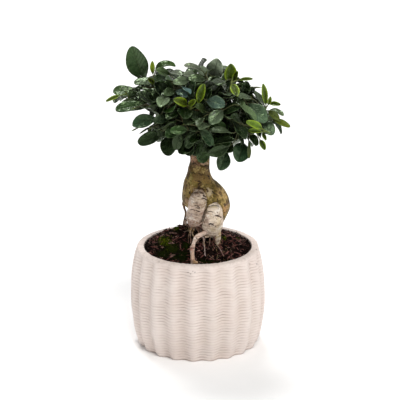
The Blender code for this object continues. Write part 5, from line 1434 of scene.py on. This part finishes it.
# Patches of colour on the bark in the same sketch: x, y, half width, half height, colour, strength. The
# bright yellow patch at (223, 196) is painted light on the bulb's lit right side.
PATCHES = [
    (199, 203, 8.0, 8.0, (0.66, 0.55, 0.42), 0.6), (193.5, 158, 4.5, 5.0, (0.50, 0.27, 0.19), 0.75),
    (204.5, 163, 4.0, 2.6, (0.66, 0.46, 0.34), 0.8), (198, 165, 6.0, 2.0, (0.42, 0.24, 0.16), 0.6),
    (189.5, 178, 3.6, 7.5, (0.25, 0.22, 0.045), 0.75), (199, 177, 5.0, 7.0, (0.26, 0.17, 0.07), 0.5),
    (207, 172, 3.0, 5.0, (0.19, 0.12, 0.05), 0.6), (193, 184, 6.0, 2.5, (0.22, 0.17, 0.04), 0.6),
    (196, 189.5, 5.0, 2.6, (0.50, 0.39, 0.26), 0.6), (205, 187, 5.0, 4.5, (0.25, 0.19, 0.06), 0.5),
    (208, 194, 4.5, 4.5, (0.55, 0.43, 0.26), 0.65), (206, 198.5, 2.4, 1.6, (0.66, 0.54, 0.44), 0.8),
    (212, 200, 5.5, 3.5, (0.34, 0.25, 0.07), 0.5), (187, 192, 3.0, 6.0, (0.30, 0.23, 0.07), 0.5),
    # (223, 196): a painted pool of light on the bulb's right side
    (186.5, 202, 2.6, 4.5, (0.45, 0.30, 0.22), 0.6), (223, 196, 6.0, 12.0, (0.74, 0.50, 0.19), 0.75),
    (226, 209, 4.0, 7.0, (0.56, 0.31, 0.13), 0.7), (220, 190, 5.0, 8.0, (0.46, 0.31, 0.13), 0.4),
    (222, 202, 6.0, 5.0, (0.33, 0.25, 0.06), 0.45), (191, 216, 1.3, 2.0, (0.27, 0.17, 0.20), 0.6),
    (195, 222.5, 4.0, 2.4, (0.36, 0.19, 0.10), 0.7), (190, 222, 3.5, 4.0, (0.56, 0.37, 0.31), 0.5),
    (219, 225, 3.5, 9.0, (0.56, 0.44, 0.24), 0.5), (207, 218, 3.0, 10.0, (0.60, 0.47, 0.40), 0.4),
    (186.5, 227, 2.4, 6.0, (0.62, 0.46, 0.40), 0.9), (206, 207, 1.8, 7.0, (0.34, 0.24, 0.09), 0.8),
    (213, 230, 4.0, 2.5, (0.50, 0.38, 0.18), 0.5), (192, 248.5, 2.6, 2.2, (0.40, 0.10, 0.07), 0.75),
    (192, 256, 4.0, 6.0, (0.66, 0.42, 0.27), 0.6), (196, 262.5, 4.5, 2.5, (0.62, 0.38, 0.16), 0.7),
    (217, 238, 2.0, 2.0, (0.45, 0.35, 0.10), 0.5), (209.5, 191.5, 4.5, 4.5, (0.64, 0.52, 0.34), 0.7),
    (199, 193.0, 6.0, 1.8, (0.44, 0.34, 0.20), 0.5), (214, 206.5, 6.5, 2.2, (0.44, 0.34, 0.15), 0.5),
    (191, 224, 4.0, 3.0, (0.52, 0.33, 0.27), 0.5),
]


def beside(points, start, end):
    """How far along a line each point lies, as a share, and how far it is from it."""
    start, end = np.array(start, float), np.array(end, float)
    share = np.clip((points - start) @ (end - start) / np.dot(end - start, end - start), 0, 1)
    return share, np.linalg.norm(points - start - share[:, None] * (end - start), axis=1)


def run_distance(points, run):
    """How far each point lies outside the surface of a run of (x, y, z, radius)."""
    best = np.full(len(points), FAR)
    for a, b in zip(run, run[1:]):
        share, away = beside(points, a[:3], b[:3])
        best = np.minimum(best, away - (a[3] + share * (b[3] - a[3])))
    return best


def line_distance(seen, line):
    best = np.full(len(seen), FAR)
    for a, b in zip(line, line[1:]):
        best = np.minimum(best, beside(seen, a, b)[1])
    return best


def add_ball(bm, place, radius, detail):
    made = bmesh.ops.create_icosphere(bm, subdivisions=detail, radius=radius)
    bmesh.ops.translate(bm, verts=made["verts"], vec=Vector(place))


def trunk_core(twigs):
    """The bulb, neck, branches and twigs, joined in one skin."""
    bm = bmesh.new()
    add_shape(bm, round_tube(smooth_path(BULB, 6), 64, True))
    for run in STUBS:
        path = smooth_path(run, 5)
        add_shape(bm, round_tube(path, 28))
        for row in path[3:-3:2]:
            add_ball(bm, row[:3], row[3], 3)
    for x, y, z, radius in BULGES:
        add_ball(bm, (x, y, z), radius, 4)
    for path in twigs:
        add_shape(bm, round_tube([path[0], path[1]], 10))
    return skinned(bm, *TRUNK_SKIN)


def leg_core(runs):
    """A leg of the rootstock by itself, so that it keeps a clear edge where it leaves the bulb."""
    bm = bmesh.new()
    for run in runs:
        add_shape(bm, round_tube(smooth_path(run, 6), 40))
    return skinned(bm, *LEG_SKIN)


def skinned(bm, fine, rounds):
    """One even skin over all the shapes: its points, normals and faces."""
    mesh = bpy.data.meshes.new("core")
    bm.to_mesh(mesh)
    bm.free()
    obj = bpy.data.objects.new("core", mesh)
    bpy.context.scene.collection.objects.link(obj)
    skin = obj.modifiers.new("skin", "REMESH")
    skin.mode = "VOXEL"
    skin.voxel_size = fine
    soften = obj.modifiers.new("soften", "SMOOTH")
    soften.factor = 0.5
    soften.iterations = rounds
    bpy.context.view_layer.update()
    graph = bpy.context.evaluated_depsgraph_get()
    done = bpy.data.meshes.new_from_object(obj.evaluated_get(graph), depsgraph=graph)
    points = np.empty(3 * len(done.vertices))
    done.vertices.foreach_get("co", points)
    normals = np.array([v.vector[:] for v in done.vertex_normals])
    faces = [tuple(p.vertices) for p in done.polygons]
    bpy.data.objects.remove(obj, do_unlink=True)
    return points.reshape(-1, 3), normals, faces


def add_shape(bm, shape):
    points, faces = shape
    made = [bm.verts.new(p) for p in points]
    for face in faces:
        bm.faces.new([made[i] for i in face])


THIN_TINTS = [
    (0.26, 0.17, 0.13), (0.58, 0.42, 0.36), (0.50, 0.33, 0.27), (0.60, 0.46, 0.36), (0.34, 0.24, 0.24),
    (0.22, 0.12, 0.11),
]


def noises(points, across, upward, shift=0.0):
    """Smooth noise at many points, with one scale for x and y and one for z."""
    scaled = points * (across, across, upward) + (0.0, 0.0, shift)
    return np.array([noise.noise(Vector(p)) for p in scaled])


def add_bark(heap, core, zones, leg):
    """One shell of the rootstock, with its colours, marks and wrinkles."""
    points, normals, faces = core
    away = np.array([np.min([run_distance(points, run) for run in runs], axis=0) for runs, _ in zones])
    if not leg:
        for x, y, z, radius in BULGES:
            away[0] = np.minimum(away[0], np.linalg.norm(points - np.array((x, y, z)), axis=1) - radius)
    weight = np.exp(-np.maximum(away - away.min(axis=0), 0) / 0.9)
    weight /= weight.sum(axis=0)
    tint = weight.T @ np.array([colour for _, colour in zones])
    seen = to_sketch(points)
    facing = np.clip(normals @ VIEW_DIRECTION * 3, 0, 1)
    ragged = noises(points, 0.35, 0.35)
    shaky = seen + 0.5 * np.stack([noises(points, 0.8, 0.8, shift) for shift in (9.0, 21.0)], axis=1)
    move = np.zeros(len(points))
    nearest = np.full(len(points), MARK_FAR)
    dark = np.zeros(len(points))
    # The marks dent the bark, and dark carries how deep the painted shade along each crack and crease is.
    for depth, width, darkness, line in MARKS:
        gap = line_distance(shaky, line)
        move -= depth * np.exp(-(gap / width) ** 2) * facing
        edge = np.where(facing > 0.15, gap - 0.5 * width, MARK_FAR)
        dark = np.where(edge < nearest, darkness, dark)
        nearest = np.minimum(nearest, edge)
    # Patches: the bark's own colours, and one painted pool of light on the bulb's right side.
    for x, y, wide, tall, colour, strength in PATCHES:
        inside = spot_level(seen, x, y, wide, tall) + 0.9 * ragged
        share = strength * np.clip(1.5 * (1 - inside), 0, 1) * facing
        tint = tint + share[:, None] * (np.array(colour) - tint)
    lumpy, rippled = LEG_RELIEF if leg else BODY_RELIEF
    move += lumpy * noises(points, 0.09, 0.07) + 0.18 * ragged + rippled * noises(points, 0.12, 0.62, 3.0)
    heap.add(points + move[:, None] * normals, faces, tint, along=float(leg), mark=nearest, across=dark)


def make_trunk(twigs, look):
    heap = Heap()
    add_bark(heap, trunk_core(twigs), BODY_ZONES, False)
    for rows, colour in LEGS:
        runs = [[(*from_sketch(x, y, depth), half / VIEW_SCALE) for x, y, depth, half in run] for run in rows]
        add_bark(heap, leg_core(runs), [(runs, colour)], True)
    for i, run in enumerate(THIN_ROOTS):
        amount, thick = HANGING_ROOT if i > 3 else STANDING_ROOT
        path = wobbled(smooth_path(run, 8), amount, 11)
        path[:, 3] *= thick
        heap.add(*round_tube(path, 8), THIN_TINTS[i], along=0.3, mark=MARK_FAR)
    return heap.piece("rootstock", [look])


def wobbled(path, amount, seed):
    path = path.copy()
    for i, row in enumerate(path):
        place = Vector((0.23 * row[0] + seed, 0.23 * row[1], 0.23 * row[2]))
        shift = [noise.noise(place + Vector((0.0, 0.0, offset))) for offset in WOBBLE_OFFSETS]
        path[i, :3] += amount * np.array(shift)
        path[i, 3] *= 1 + 0.12 * noise.noise(Vector((row[0], row[1], 0.9 * row[2])))
    return path


# Fine roots that hang from the legs: rows of x, y and depth in the front sketch, radius in mm and colour
FIBRE_ROOTS = [
    ([(185.0, 220.5, 8), (186.2, 225, 9), (186.7, 230, 10), (186.4, 234, 11)], 1.7, (0.66, 0.48, 0.42)),
    ([(188.8, 219, -14), (188.0, 225, -14), (189.5, 231, -16), (188.6, 236, -18)], 0.9, (0.16, 0.09, 0.07)),
    ([(190.6, 221, -15), (191.8, 227, -15), (190.6, 232, -17)], 1.2, (0.42, 0.25, 0.20)),
    ([(193.0, 223, -15), (193.8, 228, -14), (192.6, 233, -16), (194, 238, -18)], 1.1, (0.24, 0.13, 0.11)),
    ([(195.4, 223, -15), (197.2, 228, -14), (198.8, 232, -16), (198.0, 237, -18)], 1.5, (0.30, 0.18, 0.15)),
    ([(198.4, 222, -14), (200.2, 226, -14), (202.6, 230, -16), (203.4, 236, -18)], 1.1, (0.36, 0.22, 0.19)),
    ([(200.0, 219, -13), (198.2, 225, -12), (199.8, 231, -14), (196.5, 236, -16)], 0.9, (0.20, 0.11, 0.09)),
    ([(192.0, 226, -14), (198.0, 225.4, -17), (204.5, 223.2, -20)], 0.9, (0.62, 0.45, 0.38)),
    ([(205.2, 229, -18), (203.8, 232, -18), (204.6, 238, -20), (203.0, 243, -22)], 0.9, (0.40, 0.26, 0.22)),
    ([(208.6, 233, -16), (210.4, 236.5, -18), (209.4, 241, -20)], 0.9, (0.30, 0.18, 0.14)),
    ([(212.2, 234, -15), (213.6, 238, -17), (212.4, 243, -19), (214.2, 248, -22)], 0.8, (0.14, 0.07, 0.06)),
]


def make_fibres(look):
    """Thin brown rootlets that hang from the legs and lie on the soil."""
    draw = random.Random(SEED + 7)
    heap = Heap()
    for low, high, count, stretch in FIBRE_SPOTS:
        for _ in range(count):
            x, y = draw.uniform(low[0], high[0]), draw.uniform(low[1], high[1])
            turn = draw.uniform(-0.9, 0.9) + (math.pi / 2 if draw.random() < 0.7 else 0)
            reach = draw.uniform(3.0, 9.0) * stretch
            rows = []
            for s in (0.0, 0.33, 0.66, 1.0):
                away = reach * (s - 0.5)
                place = on_moss(x + away * math.cos(turn), y + away * math.sin(turn))
                if place is None:
                    continue
                lift = draw.uniform(0.2, 1.6) + (2.0 * (1 - s) if stretch == 1.0 else 0.0)
                rows.append((place[0], place[1], place[2] + lift, 0.34 - 0.18 * s))
            if len(rows) < 3:
                continue
            tint = np.array(FIBRE_TINT) * draw.uniform(0.5, 1.2)
            heap.add(*round_tube(smooth_path(rows, 4), 5), tint, along=0.2)
    for line, radius, colour in FIBRE_ROOTS:
        rows = [(*from_sketch(x, y, depth), radius * (1 - 0.1 * i)) for i, (x, y, depth) in enumerate(line)]
        low = rows[-1]
        rows.append((low[0], low[1] + 1.0, min(low[2] - 3.0, soil_level(low[0], low[1]) - 1.0), 0.6 * radius))
        path = wobbled(smooth_path(rows, 6), 0.7, 5)
        heap.add(*round_tube(path, 7), colour, along=0.4, mark=MARK_FAR)
    return heap.piece("rootlets", [look])


# Places in the sketch where rootlets lie: a corner, the other corner, how many and how long
FIBRE_SPOTS = [
    ((185.5, 223), (203, 234), 26, 1.0), ((200, 234), (216, 246), 26, 1.0), ((214, 240), (222, 250), 8, 0.8),
    ((206, 246), (236, 262), 34, 0.7), ((150, 236), (178, 254), 12, 0.5),
]
FIBRE_TINT = (0.20, 0.115, 0.085)


# Leaves

ROW_PLACES = 0.5 - 0.5 * np.cos(np.pi * np.linspace(0.06, 0.965, 15))
COLUMN_PLACES = np.array((-1, -0.83, -0.58, -0.34, -0.12, 0, 0.12, 0.34, 0.58, 0.83, 1.0))
BLADE_TWIST = (-0.34, 0.34)
BLADE_CUP = (0.7, 1.5)  # times the fold
EDGE_HEIGHT = (0.02, 0.075)  # share of the width
EDGE_WAVES = (7, 12)
# Three of these tints carry painted light: p is paler for painted sheen, b bluer for a painted bluish sheen,
# d near black for painted shade.
LEAF_TINTS = {
    "p": (0.038, 0.072, 0.022), "g": (0.015, 0.048, 0.006), "b": (0.011, 0.036, 0.015),
    "d": (0.004, 0.012, 0.002), "o": (0.055, 0.080, 0.005), "y": (0.075, 0.118, 0.007),
}
YOUNG_RIM = (0.32, 0.46, 0.02)
PALE_TOP_SHEEN = (0.105, 0.135, 0.080)  # painted sheen on mature leaves that look up at the outside of the crown
# painted shade: how far leaves deep in the crown are darkened
DEEP_PAINTED_SHADE = 0.08
BASE_PAINTED_SHADE, TIP_PAINTED_LIGHT = 0.4, 1.55  # painted shade and light: a mature leaf is darker at its base, deep among the others, than at its tip
LEFT_PAINTED_SHADE = (35.0, 75.0)  # painted shade: leaves this far to the left, away from the light, are darker
TINT_SPREAD = (-0.85, 0.65)
YOUNG_DEEP = (0.028, 0.050, 0.004)
PETIOLE_TINTS = [(0.050, 0.065, 0.018), (0.12, 0.16, 0.03)]  # of mature and young leaves
MATURE_SLOT, YOUNG_SLOT, STEM_SLOT = 0, 1, 2


def blade_faces():
    rows, columns = len(ROW_PLACES), len(COLUMN_PLACES)
    under = rows * columns
    faces = []
    for r in range(rows - 1):
        for c in range(columns - 1):
            a, b = r * columns + c, (r + 1) * columns + c
            faces.append((a, b, b + 1, a + 1))
            faces.append((under + a, under + a + 1, under + b + 1, under + b))
        a, b = r * columns, (r + 1) * columns
        faces.append((a, under + a, under + b, b))
        a, b = a + columns - 1, b + columns - 1
        faces.append((a, b, under + b, under + a))
    for c in range(columns - 1):
        faces.append((c, c + 1, under + c + 1, under + c))
        a = (rows - 1) * columns + c
        faces.append((a, under + a, under + a + 1, a + 1))
    return faces


BLADE_FACES = blade_faces()


def blade_points(leaf, draw):
    """Top and under points of a cupped, slightly waved blade with its midrib."""
    share, across = ROW_PLACES[:, None], COLUMN_PLACES[None, :]
    angle = leaf.bend * (0.5 - ROW_PLACES)
    reach = leaf.length / (2 * math.sin(leaf.bend / 2))
    middle = (leaf.base + reach * (math.sin(leaf.bend / 2) - np.sin(angle))[:, None] * leaf.along
              + reach * (np.cos(angle) - math.cos(leaf.bend / 2))[:, None] * leaf.normal)
    normal = np.cos(angle)[:, None] * leaf.normal - np.sin(angle)[:, None] * leaf.along
    twist = draw.uniform(*BLADE_TWIST) * (ROW_PLACES - 0.5)
    side = np.cos(twist)[:, None] * leaf.side + np.sin(twist)[:, None] * normal
    normal = np.cos(twist)[:, None] * normal - np.sin(twist)[:, None] * leaf.side
    half = 0.53 * leaf.width * np.array([half_width(s) for s in ROW_PLACES])[:, None]
    cup = leaf.fold * draw.uniform(*BLADE_CUP)
    out = half * across * np.cos(cup * np.abs(across))
    lift = half * math.sin(cup) * np.abs(across) ** 1.5
    edge = draw.uniform(*EDGE_HEIGHT) * leaf.width * np.abs(across) ** 3
    phase = draw.uniform(0, 6.28)
    lift = lift + edge * np.sin(share * draw.uniform(*EDGE_WAVES) + phase + 1.6 * np.sign(across))
    lift = lift - 0.33 * np.exp(-(across * half / 0.85) ** 2) * np.minimum(1, 3 * (1 - share))
    thick = 0.18 + 0.16 * (1 - across ** 2)
    rib = 0.42 * np.exp(-(across * half / 0.5) ** 2) * (1 - 0.85 * share)
    flat = middle[:, None, :] + out[:, :, None] * side[:, None, :]
    top = flat + (lift + thick)[:, :, None] * normal[:, None, :]
    under = flat + (lift - thick - rib)[:, :, None] * normal[:, None, :]
    return np.concatenate([top.reshape(-1, 3), under.reshape(-1, 3)])


BLADE_ALONG = np.tile(np.repeat(ROW_PLACES, len(COLUMN_PLACES)), 2)
BLADE_ACROSS = np.tile(COLUMN_PLACES, 2 * len(ROW_PLACES))
BLADE_UNDER = np.repeat((0.0, 1.0), len(ROW_PLACES) * len(COLUMN_PLACES))


OWN_REACH = 2.5
# Leaves of the front sketch with a listed colour, some their own and many painted sheen: where the tip is,
# and the colour. The pale grey-green and teal colours are painted sheen, and the palest, at (218, 58.5), also
# lights up a leaf that sits in the crown's shade.
OWN_AND_SHEEN_TINTS = [
    (218, 58.5, (0.42, 0.50, 0.36)), (196, 69, (0.16, 0.20, 0.13)), (175.5, 66.3, (0.018, 0.042, 0.004)),
    (225, 105.5, (0.040, 0.070, 0.056)), (190, 94, (0.085, 0.150, 0.150)), (187, 97, (0.045, 0.075, 0.070)),
    (113, 91.5, (0.030, 0.052, 0.018)), (115.5, 110, (0.013, 0.034, 0.007)),
    (132.3, 125, (0.012, 0.034, 0.014)), (132, 46, (0.026, 0.052, 0.018)),
    (266, 122, (0.050, 0.085, 0.048)), (273, 135, (0.055, 0.085, 0.050)), (182, 75.5, (0.12, 0.14, 0.10)),
    (173, 83, (0.09, 0.12, 0.07)), (189, 122, (0.075, 0.105, 0.058)), (206.5, 60.5, (0.014, 0.016, 0.011)),
    (152.5, 61, (0.26, 0.36, 0.01)), (184, 65.5, (0.11, 0.12, 0.09)),
]


def sheens(leaf):
    """The leaf's listed colour, often painted sheen, if its tip is one of the listed ones."""
    x, y = to_sketch(leaf.tip)
    return [tint for tip_x, tip_y, tint in OWN_AND_SHEEN_TINTS if math.hypot(tip_x - x, tip_y - y) < OWN_REACH][:1]


def outside_share(leaf):
    """0 for a leaf deep in the crown, 1 for one at its outside."""
    level = np.linalg.norm((0.5 * (leaf.base + leaf.tip) - CROWN_CENTRE) / CROWN_RADII)
    return smoothstep(float(level), 0.5, 1.0)


def add_leaf(heap, leaf, draw, own):
    """A blade with its colours, and its petiole. A listed colour, often painted sheen, goes before the drawn
    one.
    """
    young = leaf.look == "y"
    tint = np.array(LEAF_TINTS[leaf.look]) * math.exp(draw.uniform(*TINT_SPREAD))
    tint = tint * np.array((draw.uniform(0.85, 1.2), 1.0, draw.uniform(0.8, 1.15)))
    points = blade_points(leaf, draw)
    outer = outside_share(leaf)
    # Painted sheen: mature leaves at the outside of the crown whose faces look up are paled.
    if leaf.look in "pgb":
        pale = 0.7 * outer * smoothstep(float(leaf.normal[2]), 0.45, 0.95)
        tint = tint + pale * (np.array(PALE_TOP_SHEEN) * draw.uniform(0.1, 1.9) - tint)
    # Painted shade: leaves deep in the crown are darkened.
    tint = tint * (DEEP_PAINTED_SHADE + (1 - DEEP_PAINTED_SHADE) * outer)
    # Painted shade on the left side of the crown.
    tint = tint * (1 - 0.5 * smoothstep(-float(leaf.tip[0]), *LEFT_PAINTED_SHADE))
    shaded = np.broadcast_to(tint if own is None else np.array(own), (len(points), 3))
    if young:
        deep = 0.55 * (1 - BLADE_ALONG) ** 2
        shaded = shaded + (np.array(YOUNG_DEEP) - shaded) * deep[:, None]
        rim = np.clip((np.abs(BLADE_ACROSS) - 0.5) / 0.4, 0, 1)
        shaded = shaded + 0.8 * rim[:, None] * (np.array(YOUNG_RIM) - shaded)
    else:
        # Painted shade at the base of each mature leaf, painted light towards its tip.
        shaded = shaded * (BASE_PAINTED_SHADE + (TIP_PAINTED_LIGHT - BASE_PAINTED_SHADE) * BLADE_ALONG)[:, None]
    floats = {"along": BLADE_ALONG, "across": BLADE_ACROSS, "under": BLADE_UNDER}
    heap.add(points, BLADE_FACES, shaded, YOUNG_SLOT if young else MATURE_SLOT, **floats)
    add_petiole(heap, leaf, PETIOLE_TINTS[young])


def add_petiole(heap, leaf, tint):
    """The petiole, from the stem into the underside of the midrib."""
    start_axis = leaf.petiole_axis()
    angle = 0.5 * leaf.bend
    end_axis = math.cos(angle) * leaf.along + math.sin(angle) * leaf.normal
    span = max(float(np.linalg.norm(leaf.base - leaf.root)), 0.5)
    controls = [leaf.root - 0.8 * start_axis, leaf.root + 0.4 * span * start_axis,
                leaf.base - 0.35 * span * end_axis, leaf.base + 2.2 * end_axis - 0.25 * leaf.normal]
    path = []
    for t in np.linspace(0, 1, 7):
        weights = ((1 - t) ** 3, 3 * t * (1 - t) ** 2, 3 * t * t * (1 - t), t ** 3)
        path.append((*sum(w * c for w, c in zip(weights, controls)), 0.88 - 0.38 * t))
    heap.add(*round_tube(path, 6), tint, STEM_SLOT)


STEM_SIDES = 8
STEM_TINTS = [  # from foot to end: of leafy shoots, of young tips
    ((0.065, 0.045, 0.022), (0.055, 0.068, 0.022)), ((0.08, 0.10, 0.03), (0.14, 0.19, 0.04)),
]
BUD = [(-0.8, 0.9), (0.6, 1.0), (2.4, 0.75), (4.4, 0.35), (5.6, 0.08)]  # past the stem's end, radius
BUD_TINT = (0.11, 0.16, 0.03)
BUD_ROOM = 4.0  # a stem whose end lies this near the start of a young tip has no bud


def make_shoot(stem, looks, name, budded, draw, sheen):
    """One leafy shoot: its stem with nodes, a bud at the end, and its leaves."""
    heap = Heap()
    rows = smooth_path(stem.path(), 5)
    axis = stem.direction(0.0)
    rows = np.vstack([[*(rows[0, :3] - 1.6 * axis), rows[0, 3] * 1.1], rows])
    joints = [leaf.root for leaf in stem.leaves]
    for row in rows:
        near = min((float(np.linalg.norm(row[:3] - joint)) for joint in joints), default=9.0)
        row[3] *= 1 + 0.28 * math.exp(-(near / 1.6) ** 2)
    share = np.repeat(np.linspace(0, 1, len(rows)), STEM_SIDES)
    low, high = np.array(STEM_TINTS[stem.name.startswith("tip")])
    heap.add(*round_tube(rows, STEM_SIDES), low + share[:, None] * (high - low), STEM_SLOT)
    if budded:
        end, axis = stem.at(1.0), stem.direction(1.0)
        bud = [(*(end + far * axis), radius) for far, radius in BUD]
        heap.add(*round_tube(smooth_path(bud, 2), 7), BUD_TINT, STEM_SLOT)
    for leaf in stem.leaves:
        add_leaf(heap, leaf, draw, sheen.get(id(leaf)))
    return heap.piece(name, looks)


# Studio

def aim(obj, place, target):
    obj.location = place
    obj.rotation_euler = (Vector(target) - Vector(place)).to_track_quat("-Z", "Y").to_euler()


def studio():
    scene = bpy.context.scene
    scene.view_settings.view_transform = "Standard"
    world = bpy.data.worlds.new("studio")
    scene.world = world
    world.use_nodes = True
    shade = world.node_tree.nodes["Background"]
    shade.inputs["Color"].default_value = (1.0, 1.0, 1.0, 1.0)
    shade.inputs["Strength"].default_value = WORLD_LIGHT
    for name, place, angle, strength, colour in LIGHTS:
        light = bpy.data.lights.new(name, "SUN")
        light.angle = math.radians(angle)
        light.energy = strength
        light.color = colour
        obj = bpy.data.objects.new(name, light)
        scene.collection.objects.link(obj)
        aim(obj, place, LIT_PLACE)
    lens = bpy.data.cameras.new("camera")
    camera = bpy.data.objects.new("camera", lens)
    scene.collection.objects.link(camera)
    target = Vector((VIEW_AIM[0], 0.0, VIEW_AIM[1])) * MM
    aim(camera, target + VIEW_FROM * MM * Vector(VIEW_DIRECTION), target)
    lens.sensor_width = 36.0
    lens.lens = lens.sensor_width * VIEW_FROM * VIEW_SCALE / (2 * VIEW_MIDDLE)
    lens.clip_end = 60.0
    scene.camera = camera
    corners = [(x * FLOOR_REACH, y * FLOOR_REACH, 0) for x, y in ((-1, -1), (1, -1), (1, 1), (-1, 1))]
    floor = mesh_piece("floor", corners, [(0, 1, 2, 3)], [floor_look()])


WORLD_LIGHT = 0.42
LIT_PLACE = (0, 0, 0.18)
FLOOR_REACH = 6000
LIGHTS = [  # soft lights: name, place, angle across in degrees, strength and colour
    ("key", (0.45, -1.6, 3.05), 20.0, 1.55, (1.0, 0.985, 0.96)),
    ("top", (-0.35, 1.15, 2.6), 20.0, 1.75, (1.0, 1.0, 1.0)),
    ("side", (1.7, -0.7, 0.9), 40.0, 0.5, (1.0, 1.0, 1.0)),
]


# Scene

# Material names, gloss, underside, veins and how clear they are
LEAF_LOOKS = [
    ("leaf_mature_gloss", 0.19, (0.035, 0.052, 0.018), (0.062, 0.090, 0.030), 0.42),
    ("leaf_young_gloss", 0.26, (0.12, 0.16, 0.03), (0.20, 0.27, 0.05), 0.5),
]


def main():
    studio()
    stems, tips, twigs, space, heroes, watch = grow_leaves()
    extra_leaves(stems, space, watch)
    sheen = {id(leaf): tint for leaf in heroes for tint in sheens(leaf)}
    looks = [leaf_look(*settings) for settings in LEAF_LOOKS] + [grained_look(*STEM_GRAIN)]
    bark = bark_look()
    draw = random.Random(SEED + 8)
    ended = [s.name for s in stems for tip in tips if np.linalg.norm(s.at(1.0) - tip.points[0]) < BUD_ROOM]
    pieces = []
    for stem in stems:
        piece = make_shoot(stem, looks, "leafy_" + stem.name, stem.name not in ended, draw, sheen)
        pieces.append((piece, "leaf_mature", (stem.name,)))
    for tip in tips:
        piece = make_shoot(tip, looks, "young_" + tip.name, True, draw, sheen)
        pieces.append((piece, "leaf_young", (tip.name,)))
    pieces += [
        (make_pot(clay_look()), "pot_clay", ("pot",)),
        (make_soil(soil_look()), "soil", ("soil",)),
        (make_chips(grained_look(*CHIP_GRAIN)), "soil", ()),
        (make_moss(grained_look(*MOSS_GRAIN)), "soil", ()),
        (make_trunk(twigs, bark), "bark", ("trunk",)),
        (make_fibres(bark), "bark", ()),
    ]
    for piece, slot, nodes in pieces:
        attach(piece, "root")
        if nodes:
            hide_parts(*nodes)


main()
